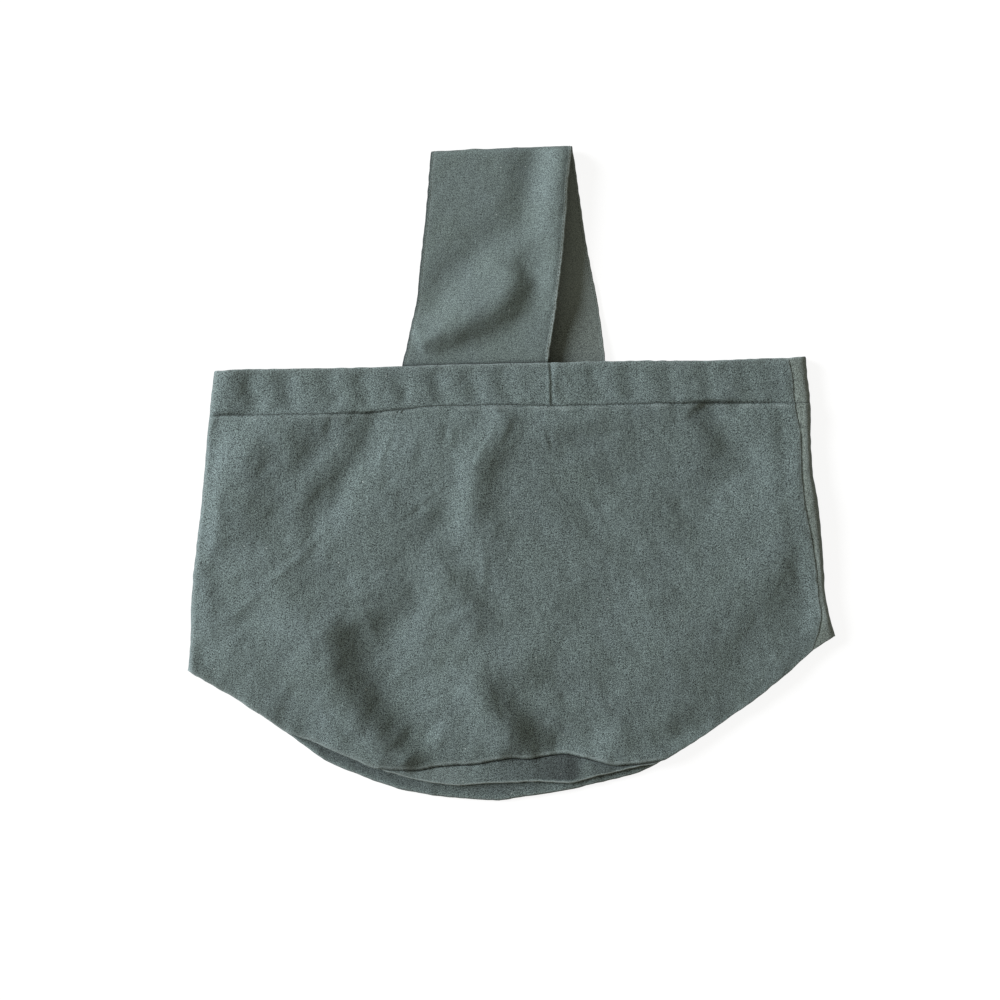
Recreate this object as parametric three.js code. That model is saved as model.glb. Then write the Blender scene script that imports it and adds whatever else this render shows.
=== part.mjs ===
// A crescent bag of washed canvas with one wide strap, lying flat on its back, in millimetres.
// +X runs along the mouth to the right, +Y from the base to the strap, +Z up from the floor.
// The middle of the bag is laid out round a mouth on y = 0; the last lines move the whole bag
// so that its origin is the bottom centre of its box.
import * as THREE from "three";

// Cloth, and the air between two layers that lie on each other
const clothThickness = 0.9;
const layerGap = 0.3;

// Outline of the flat bag
const mouthWidth = 404;
const cornerWidth = 441; // across the two lower corners
const sideLength = 200; // from the mouth down to the corners
const frontDepth = 273; // from the mouth to the lowest point of the front panel
const flatDepth = 297; // from the mouth to the lowest point of the folded base
const frontRoundness = 3.2; // the higher it is, the straighter the middle of the front panel's edge
const baseRoundness = 2.4; // the same for the folded base
const cornerEase = 1.2; // how gently both curves leave the corners

// Heights of the bag's upper face above the floor
const edgeHeight = 9.45;
const mouthHeight = 15.45;
const bellyHeight = 20.5;
const domeSharpness = 3; // the higher it is, the flatter the middle from side to side

// Hems and seams
const hemDepth = 31; // the mouth is turned in by this much
const sideWrap = 8; // each side seam lies this far in from the edge of the flat bag
const seamAllowance = 10; // the sewn edges inside the bag are this wide
const sideSeamEnd = 0.93; // the side seams' allowances stop at this share of the way down
const baseSeamReach = 0.9; // and the base seams' allowances at this share of the half width

// Base panel, folded in a pleat between the two layers of the bag
const baseReach = 0.95; // share of the half width that the base spans
const stripWidth = 10.5; // of the base that shows below the front panel, before its fold
const stripReach = 0.45; // share of the half width along which that strip shows
const stripLip = 0.5; // what is left of the strip at the ends
const pleatDepth = 38; // of the pleat inside the bag, in the middle
const pleatEnd = 5; // and at the ends
const pleatLoft = 0.75; // extra air in the inner fold of the pleat
const stripFoldRadius = 1.1;
const baseTuck = 7; // the base turns under the edge of the bag by this much
const tuckSharpness = 16;

// Strap: a loop of two layers, its ends sewn inside the hems
const strapWidth = 98;
const strapRise = 146; // from the mouth to the fold at the top of the loop
const frontStrapOffset = -21.4; // of the front end's middle from the middle of the mouth
const backStrapOffset = 17.5;
const strapLean = 1.15; // how the loop's middle line bends from each end to the fold
const strapFoldHeight = 10.95; // top of the loop near its fold
const strapSettle = 45; // the back leg comes down to the floor over this length
const strapEndTail = 3; // the ends run on this far below the hems' stitching

// The main wrinkles, which the washed cloth keeps when it lies flat. Each has a path from its top
// down (x, y), the height of a crest along it (a trough below 0), the height of a slope that falls
// across it to the right, its half width, and the shares of its length over which it fades.
const bagFolds = [
  { path: [[-90, -29], [-100, -54], [-114, -76], [-129, -96], [-136, -118], [-137, -140]],
    crest: -3.6, fall: 0.6, width: 12, fades: [0.05, 0.3] },
  { path: [[-168, -42], [-175, -76], [-187, -112], [-197, -138]],
    crest: 2.3, fall: 2, width: 18, fades: [0.2, 0.3] },
  { path: [[-113, -164], [-115, -188], [-109, -212], [-96, -236], [-80, -254], [-60, -270]],
    crest: 2.2, fall: 4.5, width: 20, fades: [0.15, 0.1] },
  { path: [[-3, -30], [-12, -50], [-24, -70], [-29, -90], [-30, -110], [-26, -132]],
    crest: 3, fall: -1, width: 13, fades: [0.05, 0.35] },
  { path: [[-8, -212], [2, -236], [14, -260], [20, -278]],
    crest: 0.3, fall: 2.8, width: 17, fades: [0.3, 0.05] },
  { path: [[132, -29], [142, -42], [152, -58], [164, -72], [180, -90]],
    crest: -2.9, fall: 0, width: 10, fades: [0.05, 0.6] },
  { path: [[178, -64], [179, -104], [173, -144], [166, -168]],
    crest: 4.3, fall: 0, width: 24, fades: [0.4, 0.25] },
];

// Smaller folds, which are straight: x and y of the start and the end, crest, fall and half width
const smallFolds = [
  [-189, -46, -207, -122, 1.5, 0, 12], [-202, -133, -190, -187, 0, 2, 17],
  [-57, -141, -91, -211, -2.1, 0, 12], [-194, -65, -194, -143, 0, 1.1, 12],
  [-164, -153, -152, -207, 0, -1.5, 17], [-111, -36, -161, -60, 0, 1.6, 17],
  [-37, -201, -3, -271, 1.9, 0, 12], [-205, -128, -155, -152, -1.5, 0, 17],
  [70, -239, 46, -289, 0, -1.6, 17], [-226, -174, -178, -234, 0, -1.3, 12],
  [-45, -87, -11, -129, 0, -1.5, 17], [-97, -201, -55, -235, -1.5, 0, 17],
  [-179, -31, -213, -101, 1.6, 0, 12], [-149, -191, -115, -261, 1.6, 0, 12],
  [-54, -122, -6, -182, 0, 1.5, 12], [151, -69, 117, -139, -1.5, 0, 12],
  [-44, -193, 32, -211, 1.5, 0, 12], [-147, -23, -217, -57, 0, -0.9, 12],
  [96, -39, 72, -89, -1.4, 0, 17], [-189, -62, -135, -74, 0, -1.4, 17],
  [-36, -214, 12, -274, 1.5, 0, 12], [-47, -162, -101, -174, -1.5, 0, 17],
  [-61, -220, -7, -232, 1.5, 0, 17], [-77, -89, -35, -123, -1.1, 0, 17], [-66, -32, -6, -80, 1.2, 0, 12],
  [-202, -69, -178, -119, 0, 0.9, 17], [27, -238, 77, -262, 0, -1.1, 17],
  [-121, -189, -163, -223, 1.3, 0, 17], [29, -178, -21, -202, 0, -1, 17],
  [-155, -146, -205, -170, -1.8, 0, 17], [82, -41, 6, -59, 0, 0.9, 12],
  [-133, -87, -175, -121, -1.2, 0, 17], [-109, -225, -67, -259, 0, 1.1, 17],
  [-197, -100, -215, -176, 0, 0.8, 12], [-205, -40, -127, -40, 1.5, 0, 12],
  [173, -28, 123, -52, -1.2, 0, 17], [67, -136, 117, -160, 0, 1, 17], [49, -76, 103, -76, -1.2, 0, 17],
  [113, -85, 155, -119, -1.2, 0, 17], [-167, -222, -117, -246, 0, -1.1, 17],
  [70, -201, -6, -219, 1.2, 0, 12], [76, -224, 136, -272, -0.8, 0, 12],
  [-37, -183, -3, -225, 1.3, 0, 17], [-139, -155, -181, -189, 0, -0.8, 17],
  [-33, -16, -15, -92, 1.1, 0, 12], [-7, -181, 27, -251, 1.1, 0, 12],
  [-157, -231, -87, -265, 0, -1.2, 12], [-102, -98, -54, -158, -1.1, 0, 12],
  [71, -254, 149, -254, -0.9, 0, 12], [-81, -112, -27, -112, -1.1, 0, 17],
  [-62, -22, -110, -82, -0.9, 0, 12], [79, -146, 129, -170, 0, 0.9, 17],
  [-95, -149, -61, -219, -1.3, 0, 12], [30, -96, 90, -144, 0, 0.8, 12],
  [-170, -25, -146, -75, 1.2, 0, 17], [103, -36, 181, -36, -1.2, 0, 12],
  [66, -228, 126, -276, -0.9, 0, 12], [82, -218, 142, -266, -0.8, 0, 12],
  [-155, -144, -101, -156, 0, 0.8, 17], [-195, -122, -141, -122, -1.1, 0, 17],
  [88, -31, 112, -81, -0.8, 0, 17], [-46, -214, 14, -262, 1.4, 0, 12],
];
const smallFades = [0.3, 0.3];

// Broad swells and hollows of the same kind, which run on past the edges
const bagSwells = [
  { path: [[240, -138], [178, -165], [155, -180], [135, -202], [118, -226], [90, -286]],
    crest: 1.4, fall: 0.5, width: 24, fades: [0.02, 0.02] },
  { path: [[164, 14], [164, -66], [166, -116], [150, -176]],
    crest: -3.3, fall: 0, width: 38, fades: [0.02, 0.3] },
  { path: [[-170, 14], [-172, -76], [-178, -136], [-172, -246]],
    crest: 6, fall: 0, width: 32, fades: [0.02, 0.2] },
  { path: [[40, 14], [60, -76], [70, -136], [60, -226]],
    crest: -1.9, fall: 0, width: 34, fades: [0.02, 0.3] },
  { path: [[112, 14], [110, -66], [100, -136]],
    crest: -3.8, fall: 0, width: 26, fades: [0.02, 0.3] },
];
const strapFolds = [
  { path: [[20, 64], [0, 37], [-25, 23], [-58, 6]],
    crest: 4.6, fall: 2.2, width: 14, fades: [0.15, 0.05] },
  { path: [[34, 148], [24, 114], [14, 88], [-10, 72], [-34, 48], [-60, 26]],
    crest: -0.3, fall: -1.6, width: 14, fades: [0.02, 0.2] },
  { path: [[36, 158], [32, 114], [30, 74], [24, 24]],
    crest: 1.9, fall: -2, width: 14, fades: [0.02, 0.2] },
];
const slopePeak = 2.33; // makes a slope's crest and trough as high as it says
const foldsFrom = 35; // no fold reaches into the hem and the strap's ends in it
const foldsRise = 12; // they reach their full height over this length,
const swellsRise = 50; // and the swells over this one
const foldsClear = { left: [6, 26], right: [20, 25], bottom: [11, 17] }; // the same at the edges
const strapFoldsRise = 20; // at the strap's root
const strapFoldsFall = 12; // and at its fold

// Number of facets
const panelColumns = 42;
const curlSteps = 5;
const panelRows = 24;
const hemRows = 3;
const foldSteps = 4;
const seamSteps = 18;
const strapColumns = 10;
const strapLegRows = 16;
const strapFoldRows = 7;

// How the sheets are worked out
const slopeStep = 1e-3; // directions are taken across a step this small
const solvePasses = 4; // a place on a curved layer is found in this many passes
const sameStation = 1e-6; // stations closer than this are one

const washedCanvas = { color: 0x66756f, roughness: 0.92, metalness: 0 };
const shadedCanvas = { color: 0x5a6560, roughness: 0.94, metalness: 0 };

// Values that follow from the sizes above: heights are those of a layer's middle surface
const layerPitch = clothThickness + layerGap;
const seamThickness = 2 * clothThickness;
const seamInset = clothThickness / 2 + layerGap + seamThickness / 2;
const backLevel = clothThickness / 2;
const edgeLevel = edgeHeight - clothThickness / 2;
const mouthLevel = mouthHeight - clothThickness / 2;
const bellyLevel = bellyHeight - clothThickness / 2;
const curlRadius = (edgeLevel - backLevel) / 2;
const tuckLevel = backLevel + 2 * seamInset;
const pleatLevel = tuckLevel + clothThickness + pleatLoft;
const stripLevel = pleatLevel + 2 * stripFoldRadius;
const frontSeamLevel = pleatLevel + 2 * seamInset;
const hemFoldRadius = layerPitch / 2;
const hemTop = clothThickness / 2 + hemFoldRadius;

// Share of the full drop that a bottom edge has at s, which runs from -1 to 1 across the bag
const bow = (s, roundness) => Math.max(0, 1 - Math.abs(s) ** roundness) ** cornerEase;
const frontDrop = (s) => sideLength + (frontDepth - sideLength) * bow(s, frontRoundness);
const baseDrop = (s) => sideLength + (flatDepth - sideLength) * bow(s, baseRoundness);
const tuckAt = (s) => baseTuck * (1 - Math.abs(s) ** tuckSharpness);
const backDrop = (s) => baseDrop(s) - tuckAt(s) - layerGap * (1 - Math.abs(s) ** tuckSharpness);

// Rises smoothly from 0 to 1 while t does
function ease(t) {
  const held = Math.min(1, Math.max(0, t));
  return held * held * (3 - 2 * held);
}

const allFolds = smallFolds
  .map(([fromX, fromY, toX, toY, crest, fall, width]) => ({
    path: [[fromX, fromY], [toX, toY]],
    crest,
    fall,
    width,
    fades: smallFades,
  }))
  .concat(bagFolds);

// Height of all these wrinkles together at x, y
function wrinkleHeight(wrinkles, x, y) {
  let height = 0;
  for (const { path, crest, fall, width, fades } of wrinkles) {
    const lengths = path.slice(1).map(([px, py], i) => Math.hypot(px - path[i][0], py - path[i][1]));
    const total = lengths.reduce((sum, length) => sum + length);
    let nearest = { gap: Infinity };
    let before = 0;
    lengths.forEach((length, i) => {
      const [fromX, fromY] = path[i];
      const dx = (path[i + 1][0] - fromX) / length;
      const dy = (path[i + 1][1] - fromY) / length;
      const along = Math.min(length, Math.max(0, (x - fromX) * dx + (y - fromY) * dy));
      const gap = Math.hypot(x - fromX - along * dx, y - fromY - along * dy);
      const side = Math.sign(dx * (y - fromY) - dy * (x - fromX));
      if (gap < nearest.gap) nearest = { gap, side, share: (before + along) / total };
      before += length;
    });
    const offset = (nearest.side * nearest.gap) / width;
    const kept = ease(nearest.share / fades[0]) * ease((1 - nearest.share) / fades[1]);
    height += (crest - slopePeak * fall * offset) * kept * Math.exp(-offset * offset);
  }
  return height;
}

// Half the width of a flat layer at v, which runs from 0 at the mouth to 1 at the bottom edge
const flatHalf = (v) => (mouthWidth + v * (cornerWidth - mouthWidth)) / 2 - curlRadius;

// Height of the upper layer along the middle of the bag: mouth, belly, then the seam with the base
function crownLevel(v) {
  const mouth = mouthLevel * (1 - v) * (1 - 2 * v);
  const belly = 4 * bellyLevel * v * (1 - v);
  const seam = frontSeamLevel * v * (2 * v - 1);
  return mouth + belly + seam;
}

// The bag is a flattened tube. Going round it, q is -1 to 1 on the upper layer, 1 to 2 on the
// right edge, 2 to 4 on the lower layer, and -2 to -1 on the left edge, below which it goes on
// along the lower layer. v goes down the tube from the mouth.
function tubePoint(q, v) {
  if (Math.abs(q) <= 1) {
    const crown = 1 - Math.abs(q) ** domeSharpness;
    const z = edgeLevel + (crownLevel(v) - edgeLevel) * crown;
    return new THREE.Vector3(q * flatHalf(v), -v * frontDrop(q), z);
  }
  if (Math.abs(q) < 2) {
    const turn = (Math.abs(q) - 1) * Math.PI;
    const x = Math.sign(q) * (flatHalf(v) + curlRadius * Math.sin(turn));
    return new THREE.Vector3(x, -v * sideLength, backLevel + curlRadius * (1 + Math.cos(turn)));
  }
  const s = q > 0 ? 3 - q : -3 - q;
  return new THREE.Vector3(s * flatHalf(v), -v * backDrop(s), backLevel);
}

// A place on the tube with the way out of the bag and the way up to the mouth
function tubeFrame(q, v) {
  const across = tubePoint(q + slopeStep, v).sub(tubePoint(q - slopeStep, v));
  const up = tubePoint(q, v - slopeStep).sub(tubePoint(q, v + slopeStep)).normalize();
  return { point: tubePoint(q, v), out: across.cross(up).normalize(), up };
}

// The place on the upper (side 1) or lower (side -1) layer that lies at x, y
function frameAt(x, y, side) {
  let v = 0;
  let s = 0;
  for (let pass = 0; pass < solvePasses; pass += 1) {
    s = x / flatHalf(v);
    v = -y / (side > 0 ? frontDrop(s) : backDrop(s));
  }
  return tubeFrame(side > 0 ? s : 3 - s, v);
}

// A closed sheet of cloth from rows of { point, out } on its middle surface
function clothSheet(rows, thickness = clothThickness) {
  const rowCount = rows.length;
  const columnCount = rows[0].length;
  const positions = [];
  for (const side of [thickness / 2, -thickness / 2]) {
    for (const { point, out } of rows.flat()) {
      positions.push(...point.clone().addScaledVector(out, side));
    }
  }
  const at = (side, row, column) => (side * rowCount + row) * columnCount + column;
  const index = [];
  const quad = (a, b, c, d) => index.push(a, b, c, a, c, d);
  for (let r = 0; r + 1 < rowCount; r += 1) {
    for (let c = 0; c + 1 < columnCount; c += 1) {
      quad(at(0, r, c), at(0, r, c + 1), at(0, r + 1, c + 1), at(0, r + 1, c));
      quad(at(1, r, c), at(1, r + 1, c), at(1, r + 1, c + 1), at(1, r, c + 1));
    }
    const last = columnCount - 1;
    quad(at(0, r + 1, 0), at(1, r + 1, 0), at(1, r, 0), at(0, r, 0));
    quad(at(0, r, last), at(1, r, last), at(1, r + 1, last), at(0, r + 1, last));
  }
  for (let c = 0; c + 1 < columnCount; c += 1) {
    const last = rowCount - 1;
    quad(at(0, 0, c), at(1, 0, c), at(1, 0, c + 1), at(0, 0, c + 1));
    quad(at(0, last, c + 1), at(1, last, c + 1), at(1, last, c), at(0, last, c));
  }
  if (signedVolume(positions, index) < 0) index.reverse();
  const geometry = new THREE.BufferGeometry();
  geometry.setAttribute("position", new THREE.Float32BufferAttribute(positions, 3));
  geometry.setIndex(index);
  geometry.computeVertexNormals();
  return geometry;
}

function signedVolume(positions, index) {
  const corner = (i) => new THREE.Vector3().fromArray(positions, 3 * index[i]);
  let volume = 0;
  for (let i = 0; i < index.length; i += 3) {
    volume += corner(i).dot(corner(i + 1).cross(corner(i + 2)));
  }
  return volume;
}

// Evenly spaced values from first to last, both included
function spread(first, last, steps) {
  return Array.from({ length: steps + 1 }, (_, i) => first + ((last - first) * i) / steps);
}

// Places across the bag that all sheets share, so that their edges run side by side
const sheetEnds = [baseReach, baseSeamReach].flatMap((s) => [-s, s]);
const stations = [...spread(-1, 1, panelColumns), ...sheetEnds]
  .sort((a, b) => a - b)
  .filter((s, i, all) => i === 0 || s - all[i - 1] > sameStation);
const stationsWithin = (reach) => stations.filter((s) => Math.abs(s) <= reach + sameStation);
const strapAcross = spread(-1 / 2, 1 / 2, strapColumns);

// Rows of a sheet that follows a middle surface given as surface(a, b), with its own normals
function surfaceRows(rowValues, columnValues, surface) {
  return rowValues.map((a) =>
    columnValues.map((b) => {
      const along = surface(a + slopeStep, b).sub(surface(a - slopeStep, b));
      const across = surface(a, b + slopeStep).sub(surface(a, b - slopeStep));
      return { point: surface(a, b), out: across.cross(along).normalize() };
    }),
  );
}

// Front and back panels: columns go round the tube, rows come up from the bottom edge, over the
// folded hem and down its inner side
function panel(columnsAt, dropAt, wrinkled) {
  const rows = [];
  const addRow = (distance, roll) => {
    const row = columnsAt.map((column) => panelPlace(column, distance, roll, dropAt));
    if (wrinkled && roll === 0) {
      for (const { point } of row) point.z += bagWrinkle(point.x, point.y);
    }
    rows.push(row);
  };
  for (const share of spread(1, 0, panelRows)) {
    addRow((drop) => hemDepth + share * (drop - hemDepth), 0);
  }
  for (const distance of spread(hemDepth, hemTop, hemRows).slice(1)) addRow(() => distance, 0);
  for (const roll of spread(0, Math.PI, foldSteps).slice(1, -1)) addRow(() => hemTop, roll);
  for (const distance of spread(hemTop, hemDepth, hemRows)) addRow(() => distance, Math.PI);
  return clothSheet(rows);
}

// One place of a panel: roll is how far round the hem's fold it lies
function panelPlace(column, distance, roll, dropAt) {
  let v = 0;
  for (let pass = 0; pass < solvePasses; pass += 1) {
    const q = column(v);
    v = distance(dropAt(q)) / dropAt(q);
  }
  const { point, out, up } = tubeFrame(column(v), v);
  const rollOut = out.clone().multiplyScalar(Math.cos(roll)).addScaledVector(up, Math.sin(roll));
  const middle = point.addScaledVector(out, -hemFoldRadius).addScaledVector(rollOut, hemFoldRadius);
  return { point: middle, out: rollOut };
}

// Lift of the front panel at x, y: nothing at its edges, where it meets other layers
function bagWrinkle(x, y) {
  const half = flatHalf(-y / frontDepth) + curlRadius;
  const s = x / half;
  if (Math.abs(s) >= 1) return 0;
  const { left, right, bottom } = foldsClear;
  const clear =
    ease((x + half - left[0]) / left[1]) *
    ease((half - x - right[0]) / right[1]) *
    ease((frontDrop(s) + y - bottom[0]) / bottom[1]);
  const folds = wrinkleHeight(allFolds, x, y) * ease((-y - foldsFrom) / foldsRise);
  const swells = wrinkleHeight(bagSwells, x, y) * ease((-y - foldsFrom) / swellsRise);
  return (folds + swells) * clear;
}

// How far the side seams lie from the ends of the flat layers, in the units of q
const wrapShare = (v, beyond) => (sideWrap - curlRadius + beyond) / flatHalf(v);

function frontPanel() {
  const leftSeam = (v) => -2 - wrapShare(v, -layerGap / 2);
  const rightSeam = (v) => 1 - wrapShare(v, layerGap / 2);
  const columns = [
    leftSeam,
    ...spread(-2, -1, curlSteps).map((q) => () => q),
    ...stations.slice(1, -1).map((s) => () => s),
    rightSeam,
  ];
  return panel(columns, (q) => (Math.abs(q) <= 1 ? frontDrop(q) : dropBelow(q)), true);
}

function backPanel() {
  const rightSeam = (v) => 1 - wrapShare(v, -layerGap / 2);
  const leftSeam = (v) => 4 - wrapShare(v, layerGap / 2);
  const columns = [
    rightSeam,
    ...spread(1, 2, curlSteps).map((q) => () => q),
    ...stations.slice(1, -1).reverse().map((s) => () => 3 - s),
    leftSeam,
  ];
  return panel(columns, (q) => (q <= 1 ? frontDrop(q) : dropBelow(q)), false);
}

// The drop of the tube's lower layer and of its edges
const dropBelow = (q) => (Math.abs(q) < 2 ? sideLength : backDrop(q > 0 ? 3 - q : -3 - q));

// The base panel: a boat-shaped strip. From the front seam it comes out, folds under, runs in
// as a pleat, folds again, comes out to the edge of the bag and turns under to the back seam.
function basePanel() {
  return clothSheet(stationsWithin(baseReach).map(baseSection));
}

function baseSection(s) {
  const x = s * flatHalf(1);
  const shown = stripLip + (stripWidth - stripLip) * Math.max(0, 1 - (s / stripReach) ** 2);
  const pleat = pleatEnd + (pleatDepth - pleatEnd) * (1 - s * s);
  const innerRadius = (pleatLevel - tuckLevel) / 2;
  const outerRadius = (tuckLevel - backLevel) / 2;
  const seamY = -(frontDrop(s) + layerGap);
  const stripEnd = -(frontDrop(s) + shown);
  const pleatY = -(frontDrop(s) - pleat);
  const edgeY = -(baseDrop(s) - outerRadius - clothThickness / 2);
  const endY = -(baseDrop(s) - tuckAt(s));
  const place = (y, z, outY, outZ) => ({
    point: new THREE.Vector3(x, y, z),
    out: new THREE.Vector3(0, outY, outZ),
  });
  const run = (fromY, toY, z, outZ, steps) =>
    spread(fromY, toY, steps).map((y) => place(y, z, 0, outZ));
  const fold = (y, z, radius, side, from) =>
    spread(0, Math.PI, foldSteps).slice(1, -1).map((turn) => {
      const reach = side * Math.sin(turn);
      const rise = Math.cos(turn);
      return place(y + radius * reach, z + radius * rise, from * reach, from * rise);
    });
  return [
    ...run(seamY, stripEnd, stripLevel, 1, 2),
    ...fold(stripEnd, pleatLevel + stripFoldRadius, stripFoldRadius, -1, 1),
    ...run(stripEnd, pleatY, pleatLevel, -1, 3),
    ...fold(pleatY, tuckLevel + innerRadius, innerRadius, 1, -1),
    ...run(pleatY, edgeY, tuckLevel, 1, 4),
    ...fold(edgeY, backLevel + outerRadius, outerRadius, -1, 1),
    ...run(edgeY, endY, backLevel, -1, 1),
  ];
}

// Seam allowances: the two sewn edges, pressed together to one side inside the bag
function sideSeam(seamAt, direction) {
  const start = (hemDepth + layerGap) / sideLength;
  const surface = (v, share) => {
    const inward = wrapShare(v, share * seamAllowance);
    const { point, out } = tubeFrame(seamAt + direction * inward, v);
    return point.addScaledVector(out, -seamInset);
  };
  const rows = surfaceRows(spread(start, sideSeamEnd, seamSteps), [0, 1], surface);
  return clothSheet(rows, seamThickness);
}

function baseSeam(placeOf, dropOf) {
  const surface = (s, share) => {
    const { point, out } = tubeFrame(placeOf(s), 1 - (share * seamAllowance) / dropOf(s));
    return point.addScaledVector(out, -seamInset);
  };
  return clothSheet(surfaceRows(stationsWithin(baseSeamReach), [0, 1], surface), seamThickness);
}

// Ends of the strap inside the hems: layer 0 is the outer cloth, layer 1 the lining
function strapEnd(offset, side, layer) {
  const inset = (2 + layer) * layerPitch;
  const surface = (y, across) => {
    const { point, out } = frameAt(offset + across * strapWidth, y, side);
    return point.addScaledVector(out, -inset);
  };
  const rowValues = spread(-(hemDepth + strapEndTail), 0, hemRows);
  return clothSheet(surfaceRows(rowValues, strapAcross, surface));
}

// The loop of the strap, from its front end over the fold to its back end
function strapLoop(layer) {
  const inset = layer * layerPitch;
  const foldTop = strapFoldHeight - clothThickness / 2;
  const foldRadius = (foldTop - backLevel) / 2;
  const foldY = strapRise - foldRadius - clothThickness / 2;
  const middleAt = (offset, y) => offset * (1 - Math.min(1, y / foldY)) ** strapLean;
  const place = (offset, across, y, z) =>
    new THREE.Vector3(middleAt(offset, y) + across * strapWidth, y, z);
  const wrinkle = ({ x, y }) =>
    wrinkleHeight(strapFolds, x, y) * ease(y / strapFoldsRise) * ease((foldY - y) / strapFoldsFall);
  const legPoint = (offset, side, across, y) => {
    const root = frameAt(offset + across * strapWidth, 0, side);
    const rootLevel = root.point.z - side * 2 * layerPitch;
    const farLevel = side > 0 ? foldTop : backLevel;
    const share = side > 0 ? y / foldY : ease(y / strapSettle);
    const point = place(offset, across, y, rootLevel + (farLevel - rootLevel) * share - side * inset);
    if (side > 0) point.z += wrinkle(point);
    return point;
  };
  const foldPoint = (across, turn) => {
    const radius = foldRadius - inset;
    const y = foldY + radius * Math.sin(turn);
    return place(0, across, y, backLevel + foldRadius + radius * Math.cos(turn));
  };
  const rowPoint = (t, across) => {
    if (t <= 1) return legPoint(frontStrapOffset, 1, across, layerGap + t * (foldY - layerGap));
    if (t < 2) return foldPoint(across, (t - 1) * Math.PI);
    return legPoint(backStrapOffset, -1, across, layerGap + (3 - t) * (foldY - layerGap));
  };
  const alongLoop = [
    ...spread(0, 1, strapLegRows),
    ...spread(1, 2, strapFoldRows).slice(1, -1),
    ...spread(2, 3, strapLegRows),
  ];
  return clothSheet(surfaceRows(alongLoop, strapAcross, rowPoint));
}

function named(name, geometry, finish) {
  const mesh = new THREE.Mesh(geometry, new THREE.MeshStandardMaterial(finish));
  mesh.name = name;
  return mesh;
}

const bag = new THREE.Group();
bag.name = "bag";
bag.add(
  named("front_panel", frontPanel(), washedCanvas),
  named("back_panel", backPanel(), washedCanvas),
  named("base_panel", basePanel(), washedCanvas),
  named("left_side_seam", sideSeam(-2, -1), shadedCanvas),
  named("right_side_seam", sideSeam(1, -1), shadedCanvas),
  named("front_base_seam", baseSeam((s) => s, frontDrop), shadedCanvas),
  named("back_base_seam", baseSeam((s) => 3 - s, backDrop), shadedCanvas),
  named("front_strap_end_outer", strapEnd(frontStrapOffset, 1, 0), washedCanvas),
  named("front_strap_end_lining", strapEnd(frontStrapOffset, 1, 1), shadedCanvas),
  named("back_strap_end_outer", strapEnd(backStrapOffset, -1, 0), washedCanvas),
  named("back_strap_end_lining", strapEnd(backStrapOffset, -1, 1), shadedCanvas),
);

const strap = new THREE.Group();
strap.name = "strap";
strap.add(
  named("strap_outer", strapLoop(0), washedCanvas),
  named("strap_lining", strapLoop(1), shadedCanvas),
);

const group = new THREE.Group();
group.add(bag, strap);

// Move the bag so that its origin is the bottom centre of its box
const box = new THREE.Box3().setFromObject(group, true);
const centre = box.getCenter(new THREE.Vector3());
group.position.set(-centre.x, -centre.y, -box.min.z);

export default group;
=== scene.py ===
import math

import bpy
import numpy as np
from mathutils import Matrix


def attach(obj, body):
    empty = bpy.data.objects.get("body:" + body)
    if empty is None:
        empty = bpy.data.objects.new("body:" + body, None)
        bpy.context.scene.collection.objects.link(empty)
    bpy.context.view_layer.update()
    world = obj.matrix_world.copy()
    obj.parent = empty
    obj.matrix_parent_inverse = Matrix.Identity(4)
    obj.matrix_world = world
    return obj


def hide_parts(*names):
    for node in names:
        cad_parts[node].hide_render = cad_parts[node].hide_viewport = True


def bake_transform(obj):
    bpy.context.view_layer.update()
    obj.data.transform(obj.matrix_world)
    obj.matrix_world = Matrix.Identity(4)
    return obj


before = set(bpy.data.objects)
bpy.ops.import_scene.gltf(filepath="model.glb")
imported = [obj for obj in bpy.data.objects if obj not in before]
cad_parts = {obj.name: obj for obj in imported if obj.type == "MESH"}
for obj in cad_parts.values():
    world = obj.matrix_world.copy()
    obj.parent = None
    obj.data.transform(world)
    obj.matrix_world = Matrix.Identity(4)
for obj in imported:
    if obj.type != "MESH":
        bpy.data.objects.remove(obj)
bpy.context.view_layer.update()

# Shapes are worked out in millimetres, in the frame's own axes: x to the right along the mouth,
# y from the base to the strap, z up from the floor. They are turned to metres as a mesh is made.
mouthLine = 75.57  # y of the mouth, about which the strap swings

cloth = {
    "thickness": 0.9,
    "layerPitch": 1.2,  # from one layer to the next one that lies on it
    "seamGap": 0.5,  # between two panels along the seam that joins them
    "cellSize": 1.85,  # how closely the cloth is divided
    "edgeRound": 0.3,  # how far a cut edge bulges
}

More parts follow.
